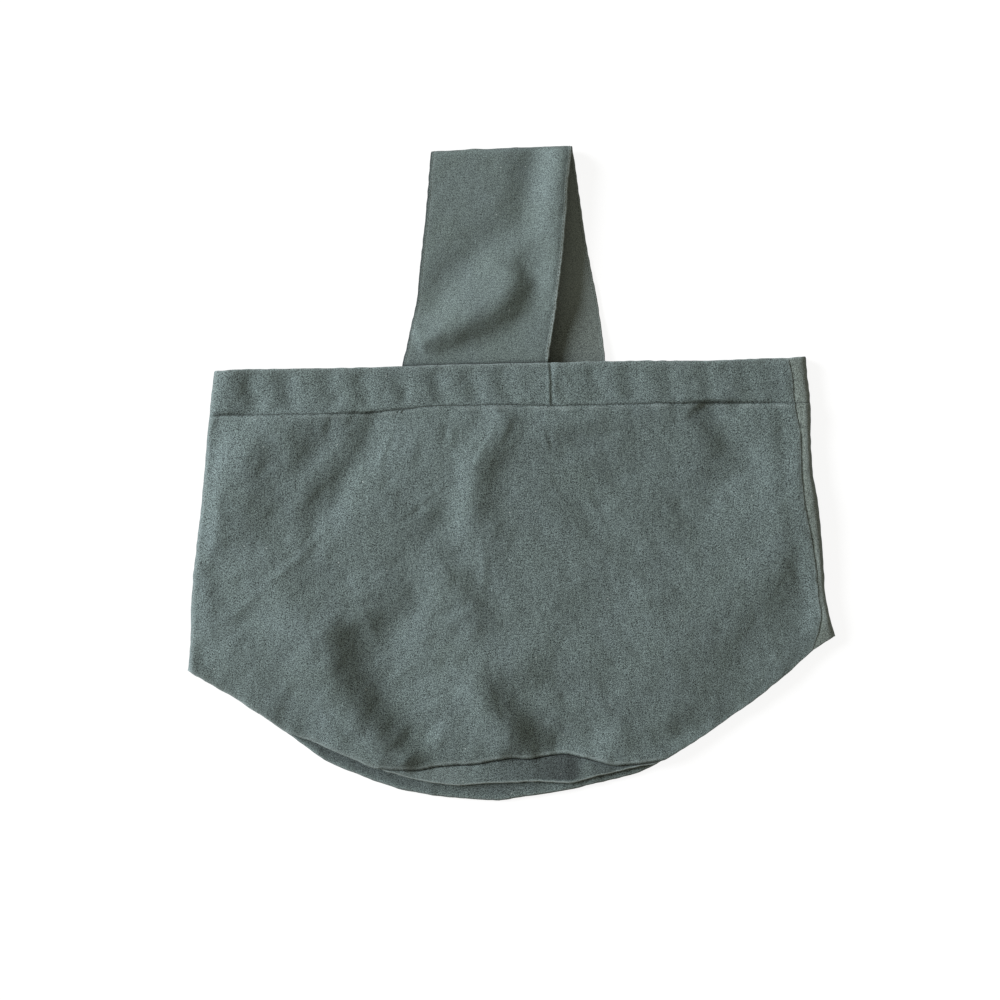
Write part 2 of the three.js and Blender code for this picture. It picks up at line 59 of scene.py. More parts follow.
# Outlines of the flat bag, as x, y
outline = {
    "mouth": [(-199.4, 75.4), (-166.8, 75.9), (-119.8, 75), (-72.2, 75.1), (-51.8, 75.6), (28.4, 75.1),
              (67.2, 75.5), (131.8, 74.3), (192.4, 74.9), (203.3, 76)],
    "hemStitch": [(-203.2, 44.8), (-141, 44.4), (-93.4, 43.6), (-74.3, 45.5), (-52.5, 47.7), (8.7, 47),
                  (25.7, 45.9), (63.1, 45.7), (97.1, 45.9), (131.1, 45.4), (192.3, 44.1)],
    "frontBottom": [(-222.6, -127.6), (-209.8, -136), (-189.7, -148.1), (-169.6, -161.8),
                    (-158.9, -170.3), (-136, -179.4), (-116.5, -188.8), (-98.4, -197), (-83.5, -199.5),
                    (-64.4, -200), (-57.6, -198.2), (-43.3, -197.1), (-24.9, -196.4), (-3.7, -193),
                    (9.2, -194.1), (20.1, -192.1), (33.7, -191), (48.6, -194.5), (62.8, -198.8),
                    (67.5, -200), (81.8, -199.2), (100.9, -197.3), (125.8, -182.9), (146.5, -169.1),
                    (167.3, -154.7), (188, -138.8), (195, -132.2), (204.7, -124.2), (218.5, -115.3)],
    "baseFold": [(-92.3, -200), (-82.8, -202.2), (-72.7, -205.9), (-57.8, -209.3), (-38.4, -211.4),
                 (-13.6, -210.2), (11.5, -210.1), (38.7, -211.5), (48.3, -209.2), (59.2, -206.6),
                 (79.8, -202.1), (100.9, -197.7)],
    "baseBottom": [(-158.9, -170.3), (-144.2, -182), (-130.2, -192.5), (-114.7, -199.7),
                   (-99.2, -206.2), (-79, -213.5), (-58.7, -218), (-28.2, -221.5), (-11.2, -222.9),
                   (2.4, -220.8), (22.9, -218.6), (43.4, -215), (63.9, -210.7), (84.4, -205.8),
                   (94.7, -201.2), (100.9, -197.3)],
    "left": [(-199.2, 75), (-202.5, 49.9), (-204.3, 35), (-207.7, 4.5), (-211.2, -26.1), (-216, -56.6),
             (-218.7, -87.1), (-219.4, -110.9), (-221.9, -127.2)],
    "right": [(204.2, 75.7), (205, 59.4), (206.6, 42.3), (205.8, 15.1), (207.3, -5.3), (210.2, -25.8),
              (211.8, -46.2), (212.7, -66.7), (213.4, -87.1), (216.5, -102.8), (219.7, -113.7)],
    "rightSeam": [(192.3, 74.3), (195.2, 60.9), (195.6, 44.3), (199.3, 24.1), (199.4, -2.8),
                  (200.6, -24.5), (205.3, -49.5), (208.1, -74.7), (209.8, -90.4), (210.3, -104),
                  (208.3, -113.5), (204.7, -122.9)],
}


def ease(value, low=0.0, high=1.0):  # 0 below low, 1 above high, smooth between them
    share = np.clip((value - low) / (high - low), 0, 1)
    return share * share * (3 - 2 * share)


def smoothLine(points, byY=False, softness=2.0):  # the outline as a function of x, or of y
    places = np.array(points, float)
    key, value = (places[:, 1], places[:, 0]) if byY else (places[:, 0], places[:, 1])
    order = np.argsort(key)
    step = 0.5
    dense = np.arange(key.min(), key.max() + step, step)
    values = np.interp(dense, key[order], value[order])
    reach = int(4 * softness / step)
    kernel = np.exp(-0.5 * (np.arange(-reach, reach + 1) * step / softness) ** 2)
    padded = np.pad(values, reach, mode="reflect", reflect_type="odd")
    values = np.convolve(padded, kernel / kernel.sum(), mode="valid")
    return lambda t: np.interp(t, dense, values)


mouthAt = smoothLine(outline["mouth"], softness=4)
stitchAt = smoothLine(outline["hemStitch"], softness=4)
frontBottomAt = smoothLine(outline["frontBottom"])
baseFoldAt = smoothLine(outline["baseFold"])
baseBottomSeen = smoothLine(outline["baseBottom"])
leftAt = smoothLine(outline["left"], byY=True, softness=6)
rightAt = smoothLine(outline["right"], byY=True, softness=5)
rightSeamAt = smoothLine(outline["rightSeam"], byY=True, softness=3)

bag = {
    "edgeLevel": 9.0,  # of the upper layer along the bag's left and right edges
    "mouthLevel": 15.0,
    "bellyLevel": 20.05,
    "frontSeamLevel": 8.7,
    "backLevel": 0.45,
    "domeSharpness": 3.3,  # the higher it is, the flatter the middle from side to side
    "sideWrap": 8,  # the left seam lies this far in from the edge, underneath
    "seamAllowance": 10,
    "hemFoldRadius": 0.6,
    "hemFoldSteps": 8,
    "baseTuck": 7,  # the base turns under the edge of the bag by this much
    "tuckSharpness": 16,
    "leftDrop": 202.8,
    "rightDrop": 189.3,
    "stripFrom": -90,  # between these the strip of the base shows below the front panel
    "stripTo": 97,
    "hiddenStep": 0.6,  # where the base doesn't show, its edge lies this far below the front panel's
    "bodyLength": 240,  # from the hem's stitching to the bottom edge, for dividing the cloth
    "hemDepth": 30,
    "panelWidth": 400,
}
curlRadius = (bag["edgeLevel"] - bag["backLevel"]) / 2


def stripWindow(x):  # 1 where the strip of the base shows, 0 where the front panel hides it
    return ease(x, bag["stripFrom"] - 7, bag["stripFrom"] + 3) * (
        1 - ease(x, bag["stripTo"] - 3, bag["stripTo"] + 7))


baseSeenFrom, baseSeenTo = outline["baseBottom"][0][0], outline["baseBottom"][-1][0]


def baseBottomAt(x):
    hidden = frontBottomAt(x) - bag["hiddenStep"]
    within = (x > baseSeenFrom) & (x < baseSeenTo)
    return np.where(within, np.minimum(hidden, baseBottomSeen(x)), hidden)


def crownLevel(v):  # height of the upper layer along the middle of the bag
    return (bag["mouthLevel"] * (1 - v) * (1 - 2 * v) + 4 * bag["bellyLevel"] * v * (1 - v)
            + bag["frontSeamLevel"] * v * (2 * v - 1))


def topLevel(s, v):
    dome = (1 - np.minimum(np.abs(s), 1) ** bag["domeSharpness"]) ** 1.25
    return bag["edgeLevel"] + (crownLevel(v) - bag["edgeLevel"]) * dome


def innerEdges(v):  # x of the left and right ends of the flat layers
    left = leftAt(mouthLine - v * bag["leftDrop"]) + curlRadius
    right = rightAt(mouthLine - v * bag["rightDrop"]) - curlRadius
    return left, right


# The bag is a flattened tube. Going round it, q is -1 to 1 on the upper layer, 1 to 2 on the
# right edge, 2 to 4 on the lower layer, and -2 to -1 on the left edge, below which it goes on
# along the lower layer. v goes down the tube from the mouth, 0 to 1.
def tubeAcross(q, v):
    left, right = innerEdges(v)
    s = np.where(np.abs(q) <= 1, q, np.where(np.abs(q) < 2, np.sign(q), np.sign(q) * 3 - q))
    turn = np.clip(np.abs(q) - 1, 0, 1) * math.pi
    x = left + (right - left) * (s + 1) / 2 + np.sign(q) * curlRadius * np.sin(turn)
    return x, s, turn


def tubeEnds(q):  # y of the mouth and of the bottom edge
    xTop, s, turn = tubeAcross(q, 0 * q)
    xLow = tubeAcross(q, 0 * q + 1)[0]
    tucked = bag["baseTuck"] + cloth["seamGap"]
    below = baseBottomAt(xLow) + tucked * (1 - np.abs(s) ** bag["tuckSharpness"])
    under = (1 - np.cos(turn)) / 2
    return mouthAt(xTop), frontBottomAt(xLow) * (1 - under) + below * under, xTop


def tubePoint(q, v):
    x, s, turn = tubeAcross(q, v)
    top, low, xTop = tubeEnds(q)
    curled = bag["backLevel"] + curlRadius * (1 + np.cos(turn))
    z = np.where(np.abs(q) <= 1, topLevel(s, v), curled)
    return np.stack([x, top * (1 - v) + low * v, z], -1)


def unit(vectors):
    return vectors / np.maximum(np.linalg.norm(vectors, axis=-1, keepdims=True), 1e-9)


def tubeFrame(q, v):  # a place on the tube, the way out of the bag and the way up to the mouth
    step = 1e-3
    across = tubePoint(q + step, v) - tubePoint(q - step, v)
    up = unit(tubePoint(q, v - step) - tubePoint(q, v + step))
    return tubePoint(q, v), unit(np.cross(across, up)), up


print("scene: outlines are ready")

# Heights that are laid over the flat bag: folds, puckers and the crumpling that washing leaves.
# They stand on a square grid of points, 1 mm apart.
gridReach = 262
gridStep = 1.0
gridLine = np.arange(-gridReach, gridReach + gridStep, gridStep)
gridX, gridY = np.meshgrid(gridLine, gridLine)


def sample(field, x, y):  # the field's value between its grid points
    limit = len(gridLine) - 1.001
    column = np.clip((x + gridReach) / gridStep, 0, limit)
    row = np.clip((y + gridReach) / gridStep, 0, limit)
    c, r = column.astype(int), row.astype(int)
    fc, fr = column - c, row - r
    near = field[r, c] * (1 - fc) + field[r, c + 1] * fc
    far = field[r + 1, c] * (1 - fc) + field[r + 1, c + 1] * fc
    return near * (1 - fr) + far * fr


def randomWaves(seed, wavelength, stretch=1.0, lean=0.0):
    # waves about this long in mm, stretched along a line that leans this many degrees from +x
    white = np.random.default_rng(seed).standard_normal(gridX.shape)
    count = np.fft.fftfreq(len(gridLine), gridStep)
    angle = math.radians(lean)
    along = count[None, :] * math.cos(angle) + count[:, None] * math.sin(angle)
    across = -count[None, :] * math.sin(angle) + count[:, None] * math.cos(angle)
    size = np.sqrt((along * stretch) ** 2 + across ** 2) * wavelength
    waves = np.fft.ifft2(np.fft.fft2(white) * np.exp(-(((size - 1) / 0.42) ** 2))).real
    return waves / waves.std()


def smoothPath(points, parts):  # a curve through the points
    p = np.array(points, float)
    p = np.vstack([2 * p[0] - p[1], p, 2 * p[-1] - p[-2]])
    t = np.linspace(0, 1, parts, endpoint=False)[:, None]
    curve = [0.5 * (2 * b + (c - a) * t + (2 * a - 5 * b + 4 * c - d) * t ** 2
                    + (3 * b - a - 3 * c + d) * t ** 3)
             for a, b, c, d in zip(p, p[1:], p[2:], p[3:])]
    return np.vstack(curve + [p[-2][None]])


slopePeak = 2.33  # makes a slope's crest and trough stand as high as the fold says


def foldField(folds):
    # Each fold has a path from the top down, the height of a crest along it (a trough below 0), the
    # height of a slope that falls across it to the right, its half width and how soon it fades at
    # its start and end.
    field = np.zeros_like(gridX)
    for path, crest, fall, width, fadeIn, fadeOut in folds:
        curve = smoothPath(path, 8 if len(path) > 2 else 1)
        reach = 3 * width
        rows = slice(*np.searchsorted(gridLine, (curve[:, 1].min() - reach, curve[:, 1].max() + reach)))
        columns = slice(*np.searchsorted(gridLine, (curve[:, 0].min() - reach, curve[:, 0].max() + reach)))
        x, y = gridX[rows, columns], gridY[rows, columns]
        steps = np.diff(curve, axis=0)
        lengths = np.linalg.norm(steps, axis=1)
        total = lengths.sum()
        nearest = np.full(x.shape, 1e9)
        side = np.zeros_like(x)
        along = np.zeros_like(x)
        before = 0.0
        for start, step, length in zip(curve, steps, lengths):
            px, py = x - start[0], y - start[1]
            t = np.clip((px * step[0] + py * step[1]) / length ** 2, 0, 1)
            apart = (px - t * step[0]) ** 2 + (py - t * step[1]) ** 2
            closer = apart < nearest
            nearest = np.where(closer, apart, nearest)
            side = np.where(closer, step[0] * py - step[1] * px, side)
            along = np.where(closer, (before + t * length) / total, along)
            before += length
        offset = np.sqrt(nearest) * np.sign(side) / width
        strength = ease(along, 0, fadeIn) * (1 - ease(along, 1 - fadeOut, 1)) * np.exp(-offset ** 2)
        field[rows, columns] += (crest - slopePeak * fall * offset) * strength
    return field


# The main folds and the broad swells stand in the frame too, with these same paths and heights. The
# paths were drawn, and a fit to the photograph's shading gave the heights.
mainFolds = [
    [[(-90, 47), (-100, 22), (-114, 0), (-129, -20), (-136, -42), (-137, -64)], -3.6, 0.6, 12, 0.05, 0.3],
    [[(-168, 34), (-175, 0), (-187, -36), (-197, -62)], 2.3, 2, 18, 0.2, 0.3],
    [[(-113, -88), (-115, -112), (-109, -136), (-96, -160), (-80, -178), (-60, -194)],
     2.2, 4.5, 20, 0.15, 0.1],
    [[(-3, 46), (-12, 26), (-24, 6), (-29, -14), (-30, -34), (-26, -56)], 3, -1, 13, 0.05, 0.35],
    [[(-8, -136), (2, -160), (14, -184), (20, -202)], 0.3, 2.8, 17, 0.3, 0.05],
    [[(132, 47), (142, 34), (152, 18), (164, 4), (180, -14)], -2.9, 0, 10, 0.05, 0.6],
    [[(178, 12), (179, -28), (173, -68), (166, -92)], 4.3, 0, 24, 0.4, 0.25],
]
swells = [
    [[(240, -62), (178, -89), (155, -104), (135, -126), (118, -150), (90, -210)], 1.4, 0.5, 24, 0.02, 0.02],
    [[(164, 90), (164, 10), (166, -40), (150, -100)], -3.3, 0, 38, 0.02, 0.3],
    [[(-170, 90), (-172, 0), (-178, -60), (-172, -170)], 6, 0, 32, 0.02, 0.2],
    [[(40, 90), (60, 0), (70, -60), (60, -150)], -1.9, 0, 34, 0.02, 0.3],
    [[(112, 90), (110, 10), (100, -60)], -3.8, 0, 26, 0.02, 0.3],
]
strapMain = [
    [[(20, 140), (0, 113), (-25, 99), (-58, 82)], 4.6, 2.2, 14, 0.15, 0.05],
    [[(34, 224), (24, 190), (14, 164), (-10, 148), (-34, 124), (-60, 102)], -0.3, -1.6, 14, 0.02, 0.2],
    [[(36, 234), (32, 190), (30, 150), (24, 100)], 1.9, -2, 14, 0.02, 0.2],
]

# Smaller folds are straight: x and y of the start and the end, crest, fall and half width. The frame
# shares the front's medium ones. A fitting program chose them from the photograph's shading.
frontMedium = [
    (-189, 30, -207, -46, 1.5, 0, 12), (-202, -57, -190, -111, 0, 2, 17),
    (-57, -65, -91, -135, -2.1, 0, 12), (-194, 11, -194, -67, 0, 1.1, 12),
    (-164, -77, -152, -131, 0, -1.5, 17), (-111, 40, -161, 16, 0, 1.6, 17),
    (-37, -125, -3, -195, 1.9, 0, 12), (-205, -52, -155, -76, -1.5, 0, 17),
    (70, -163, 46, -213, 0, -1.6, 17), (-226, -98, -178, -158, 0, -1.3, 12),
    (-45, -11, -11, -53, 0, -1.5, 17), (-97, -125, -55, -159, -1.5, 0, 17),
    (-179, 45, -213, -25, 1.6, 0, 12), (-149, -115, -115, -185, 1.6, 0, 12),
    (-54, -46, -6, -106, 0, 1.5, 12), (151, 7, 117, -63, -1.5, 0, 12), (-44, -117, 32, -135, 1.5, 0, 12),
    (-147, 53, -217, 19, 0, -0.9, 12), (96, 37, 72, -13, -1.4, 0, 17), (-189, 14, -135, 2, 0, -1.4, 17),
    (-36, -138, 12, -198, 1.5, 0, 12), (-47, -86, -101, -98, -1.5, 0, 17),
    (-61, -144, -7, -156, 1.5, 0, 17), (-77, -13, -35, -47, -1.1, 0, 17), (-66, 44, -6, -4, 1.2, 0, 12),
    (-202, 7, -178, -43, 0, 0.9, 17), (27, -162, 77, -186, 0, -1.1, 17),
    (-121, -113, -163, -147, 1.3, 0, 17), (29, -102, -21, -126, 0, -1, 17),
    (-155, -70, -205, -94, -1.8, 0, 17), (82, 35, 6, 17, 0, 0.9, 12), (-133, -11, -175, -45, -1.2, 0, 17),
    (-109, -149, -67, -183, 0, 1.1, 17), (-197, -24, -215, -100, 0, 0.8, 12),
    (-205, 36, -127, 36, 1.5, 0, 12), (173, 48, 123, 24, -1.2, 0, 17), (67, -60, 117, -84, 0, 1, 17),
    (49, 0, 103, 0, -1.2, 0, 17), (113, -9, 155, -43, -1.2, 0, 17), (-167, -146, -117, -170, 0, -1.1, 17),
    (70, -125, -6, -143, 1.2, 0, 12), (76, -148, 136, -196, -0.8, 0, 12), (-37, -107, -3, -149, 1.3, 0, 17),
    (-139, -79, -181, -113, 0, -0.8, 17), (-33, 60, -15, -16, 1.1, 0, 12), (-7, -105, 27, -175, 1.1, 0, 12),
    (-157, -155, -87, -189, 0, -1.2, 12), (-102, -22, -54, -82, -1.1, 0, 12),
    (71, -178, 149, -178, -0.9, 0, 12), (-81, -36, -27, -36, -1.1, 0, 17), (-62, 54, -110, -6, -0.9, 0, 12),
    (79, -70, 129, -94, 0, 0.9, 17), (-95, -73, -61, -143, -1.3, 0, 12), (30, -20, 90, -68, 0, 0.8, 12),
    (-170, 51, -146, 1, 1.2, 0, 17), (103, 40, 181, 40, -1.2, 0, 12), (66, -152, 126, -200, -0.9, 0, 12),
    (82, -142, 142, -190, -0.8, 0, 12), (-155, -68, -101, -80, 0, 0.8, 17),
    (-195, -46, -141, -46, -1.1, 0, 17), (88, 45, 112, -5, -0.8, 0, 17), (-46, -138, 14, -186, 1.4, 0, 12),
]

# Puckers of the hem, most of them about 25 mm apart. Each slants down to the right. Their places and
# heights weren't measured, so they don't follow the photograph's puckers one by one.
pucker = {
    "places": [-178, -153, -124, -101, -76, -50, -27, -4, 56, 80, 107, 132, 158],
    "heights": [-1.6, -1.9, -1.3, -1.5, -1.2, -1.6, -1.3, -1.1, -0.9, -1.2, -0.8, -1, -0.7],
    "top": 76,
    "bottom": 44,
    "lean": 9,  # this much further right at the bottom
    "halfWidth": 6.5,
}
hemPuckers = [(x, pucker["top"], x + pucker["lean"], pucker["bottom"], height, 0, pucker["halfWidth"])
              for x, height in zip(pucker["places"], pucker["heights"])]

# Sharp creases of the front panel, as straight lines like the others, read off the photograph.
frontCreases = [
    (-119, -27, -149, -60, 0.5, 0, 2.4), (-138, -48, -199, -100, 0.8, 0, 2.4),
    (-92, 32, -144, -26, 0, 0.13, 3), (-76, 35, -88, 2, 0, 0.6, 2.4), (-10, 34, -26, 5, 0, -0.35, 2.4),
    (-30, 2, -82, -35, 0, 0.4, 2.2), (-27, -7, -39, -39, 0, -0.25, 2.6), (-17, -39, -20, -85, 0.6, 0, 2.4),
    (-20, -86, -75, -119, 0.5, 0, 2.4), (-39, 36, -41, 19, 0, -0.6, 2.6), (-41, 19, -30, 4, 0, -0.5, 2.6),
    (-48, -52, -37, -72, 0, 0.35, 2.6), (-138, -101, -130, -123, 0, 0.35, 2.6),
    (-131, -153, -108, -188, -0.5, 0.5, 2.4), (-115, -164, -94, -191, 0, -0.5, 2.6),
    (-74, -73, -63, -93, 0, 0.3, 2.6), (-17, -137, -7, -172, 0, 0.3, 2.6),
    (-6, -172, -6, -188, 0, -0.35, 2.4), (-65, -138, -53, -153, 0, 0.25, 2.6),
    (52, -8, 65, -33, -0.4, 0.3, 2.6), (163, 0, 187, -26, -0.5, 0, 2.6), (58, -150, 69, -170, 0, 0.25, 2.6),
    (63, -55, 71, -87, -0.4, 0, 2.6), (5, 39, -6, 18, 0, 0.4, 2.4), (25, 31, 29, 14, 0, 0.35, 2.4),
    (35, 29, 44, 9, 0, -0.25, 2.6), (-56, 31, -67, 6, 0, 0.25, 2.6), (-101, -83, -90, -111, 0, 0.25, 2.6),
]

# The strap's right edge shows through the hem as a sharp step.
strapUnderHem = [
    [[(29.2, 78), (29.4, 62), (29.2, 44)], 0, 0.5, 1.3, 0.02, 0.1],
    [[(33.4, 78), (33.4, 62), (33, 48)], 0.35, 0, 2.2, 0.02, 0.4],
]


straightFade = 0.3  # a straight fold fades over this share of its length at each end


def straight(folds):
    return [[[(x0, y0), (x1, y1)], crest, fall, width, straightFade, straightFade]
            for x0, y0, x1, y1, crest, fall, width in folds]


crumple = {
    "frontFolds": 1.06,  # times the heights above
    "hemFolds": 1.18,
    "strapFolds": 1.1,
    "hemLift": 1.8,  # at the hem's left end
    "broad": 0.3,  # height of waves about 62 mm long
    "middle": 0.3,  # 30 mm
    "small": 0.17,  # 14 mm
    "fine": 0.05,  # 7 mm
    "hemPucker": 0.05,  # slanting, in the hem
    "hemSlant": 0.53,
    "belowHem": 0.15,  # gathers below the hem's stitching, which die out over this many mm:
    "belowHemReach": 24,
    "baseGather": 0.16,
    "baseGatherReach": 15,
    "stitchGroove": 0.6,
    "seamGroove": 1.0,
    "sideGroove": 0.4,
    "pressedSide": 2.4,
    "pressedEdge": 1.6,
    "underside": 1.1,  # how far folds of the back panel lift off the floor
}


def creased(waves, sharpness=0.3):  # turns half of the waves into narrow creases
    return 0.6 * waves - 0.7 * (np.sqrt(waves ** 2 + sharpness ** 2) - 0.85)


leftLean = 1 - ease(gridX, -60, 60)  # the left half's wrinkles lean one way, the right half's the other
broadWaves = randomWaves(11, 62)
middleWaves = (creased(randomWaves(12, 30, 1.9, 58)) * leftLean
               + creased(randomWaves(13, 30, 1.7, -48)) * (1 - leftLean))
smallWaves = (creased(randomWaves(14, 14, 1.6, 60)) * leftLean
              + creased(randomWaves(15, 14, 1.5, -45)) * (1 - leftLean))
fineWaves = randomWaves(16, 7)
hemSlope = math.degrees(math.atan2(1, -crumple["hemSlant"]))
hemWaves = randomWaves(17, 12, 3.2, hemSlope)
gatherWaves = randomWaves(18, 17, 4.0, 78)
bottomWaves = randomWaves(19, 13, 4.0, 90)
undersideWaves = creased(randomWaves(20, 42, 1.6, 70)) + 0.4 * randomWaves(21, 18, 2.0, 100)

depthBelowMouth = mouthAt(gridX) - gridY
hemHeight = mouthAt(gridX) - stitchAt(gridX)
inHem = 1 - ease(depthBelowMouth, hemHeight - 3, hemHeight + 1)
belowStitch = np.maximum(depthBelowMouth - hemHeight, 0)
aboveBottom = gridY - frontBottomAt(gridX)
onPanel = ease(aboveBottom, -8, 4)
fromLeft, fromRight = gridX - leftAt(gridY), rightAt(gridY) - gridX
clearOfEdges = (1 - inHem) * ease(aboveBottom, -8, 10) * ease(fromLeft, 0, 14) * ease(fromRight, -9, 2)
upperField = foldField(swells) * ease(depthBelowMouth, 33, 85) * ease(aboveBottom, 8, 28) * ease(
    fromLeft, 4, 32) * ease(fromRight, 16, 45)
upperField += crumple["frontFolds"] * foldField(mainFolds + straight(frontMedium)) * clearOfEdges
upperField += foldField(straight(frontCreases)) * (1 - inHem)
upperField += (crumple["broad"] * broadWaves + crumple["middle"] * middleWaves) * (1 - inHem) * (
    0.35 + 0.65 * ease(belowStitch, 0, 30)) * (0.3 + 0.7 * onPanel)
upperField += (crumple["small"] * smallWaves + crumple["fine"] * fineWaves) * (0.4 + 0.6 * onPanel)
# At the left end the hem's folds don't sink below the rolled edge, but rise from it.
hemFloor = 9 * ease(fromLeft, 8, 16) + 0.2
hemFolds = np.maximum(foldField(straight(hemPuckers)), -hemFloor) * ease(fromLeft, 0, 9)
hemFolds += crumple["hemLift"] * ease(fromLeft, 0, 9) * (1 - ease(fromLeft, 12, 30))
upperField += inHem * (crumple["hemFolds"] * hemFolds + foldField(strapUnderHem)
                       + crumple["hemPucker"] * hemWaves)
upperField += (1 - inHem) * crumple["belowHem"] * gatherWaves * np.exp(
    -belowStitch / crumple["belowHemReach"])
upperField += crumple["baseGather"] * bottomWaves * np.exp(
    -(aboveBottom / crumple["baseGatherReach"]) ** 2) * (aboveBottom > -60)
lowerField = crumple["underside"] * np.maximum(undersideWaves - 0.15, 0) ** 1.3
lowerField = np.minimum(lowerField, 3.0)
# The side is pressed flat up to the right seam and over it.
seamX = rightSeamAt(gridY)
pressed = crumple["pressedSide"] * ease(gridX, seamX - 13, seamX - 1)
pressed += crumple["pressedEdge"] * ease(gridX, seamX - 1, seamX + 7)
upperField += pressed * ease(gridY, -122, -100) * (1 - 0.6 * inHem)
swayX = 0.12 * randomWaves(22, 30) + 0.08 * randomWaves(23, 9)
swayY = 0.12 * randomWaves(24, 30) + 0.10 * randomWaves(25, 9)
strapField = crumple["strapFolds"] * foldField(strapMain) + crumple["fine"] * fineWaves
strapField += 0.13 * creased(randomWaves(27, 14, 1.5, 60))

strap = {
    "foldLevel": 10.5,  # middle of the outer cloth near the fold at the top of the loop
    "settleLength": 45,  # the back leg comes down to the floor over this length
    "endTail": 3,  # the ends run on this far below the hems' stitching
    "foldSteps": 12,
    "edgeStitchInset": 1.3,
    "edgeWave": 0.1,  # the edge stitching draws the edges in by this much, once every:
    "edgeWaveLength": 8.2,
    "frontLeft": [(-70.2, 76.7), (-65.3, 96.3), (-59.8, 116.6), (-56.3, 147.1), (-52.1, 177.6),
                  (-48.6, 211.6), (-47.4, 221)],
    "frontRight": [(28.4, 75.4), (29.8, 84.8), (33.2, 104.6), (37.2, 127.9), (41.6, 163),
                   (44.7, 198), (48.2, 221.5)],
    "backRight": [(67.4, 76.2), (65.7, 98), (61.8, 127.3), (56.2, 156.7), (49, 220.1)],
    "top": [(-47.4, 221.7), (-26.6, 222.3), (2.6, 222.7), (21.7, 223.3), (47.5, 222.8)],
    "rootShadeReach": 1.2,  # painted shade: the strap is darker this close to the hem that it comes out of
    "widthAtMouth": 98.4,
    "widthAtFold": 95.8,
    "meanWidth": 98,
    "foldLine": 221,  # y of the fold at the top of the loop
    "loopLength": 140,
}
strapTopAt = smoothLine(strap["top"], softness=5)
frontLeftAt = smoothLine(strap["frontLeft"], byY=True, softness=5)
frontRightAt = smoothLine(strap["frontRight"], byY=True, softness=5)
backRightAt = smoothLine(strap["backRight"], byY=True, softness=8)


def upperFace(x, y):  # height of the bag's or the loop's upper face before it is wrinkled
    v = np.clip((mouthAt(x) - y) / (mouthAt(x) - frontBottomAt(x)), 0, 1)
    left, right = innerEdges(v)
    s = np.clip(2 * (x - left) / (right - left) - 1, -1, 1)
    bagFace = topLevel(s, v) + cloth["thickness"] / 2
    along = np.clip((y - mouthLine) / (strapTopAt(x) - mouthLine), 0, 1)
    strapFace = bag["mouthLevel"] - 2 * cloth["layerPitch"] + cloth["thickness"] / 2
    strapFace = strapFace + (strap["foldLevel"] + cloth["thickness"] / 2 - strapFace) * along
    return bagFace + (strapFace - bagFace) * ease(y, mouthLine, mouthLine + 12)


def wrinkle(points):
    # Moves every layer alike: fully at the upper face, not at all on the floor, and in
    # proportion between them, so that no layer passes through another.
    x, y, z = points[..., 0], points[..., 1], points[..., 2]
    share = np.clip(z / upperFace(x, y), 0, 1.15)
    onStrap = ease(y, mouthLine, mouthLine + 22)
    above = (sample(upperField, x, np.minimum(y, mouthLine)) * (1 - onStrap)
             + sample(strapField, x, y) * onStrap)
    offBag = ease(y, mouthLine - 1, mouthLine)
    above -= (1 - offBag) * crumple["stitchGroove"] * np.exp(-((y - stitchAt(x)) / 0.85) ** 2)
    groove = crumple["seamGroove"] * (0.25 + 0.75 * stripWindow(x))
    above -= groove * np.exp(-((y - frontBottomAt(x) + 0.5) / 0.9) ** 2)
    above -= (1 - offBag) * crumple["sideGroove"] * np.exp(
        -((x - rightSeamAt(y) - 0.7) / 0.8) ** 2) * (y > -124)
    below = sample(lowerField, x, y) * (1 - 0.7 * offBag)
    tall = z + above * share + below * (1 - share)
    return np.stack([x + sample(swayX, x, y), y + sample(swayY, x, y), np.maximum(tall, 0.0)], -1)


print("scene: folds and crumpling are ready")


def spaced(length, step, start=(0,), end=(0,)):
    # places from 0 to length about one step apart, with closer ones at the start and the end
    start, end = np.array(start, float), length - np.array(end, float)[::-1]
    count = max(2, int(round((end[0] - start[-1]) / step)) + 1)
    return np.concatenate([start[:-1], np.linspace(start[-1], end[0], count), end[1:]])


closeEdge = (0, 0.5, 1.0, 1.6, 2.4, 3.4, 4.8, 6.6)


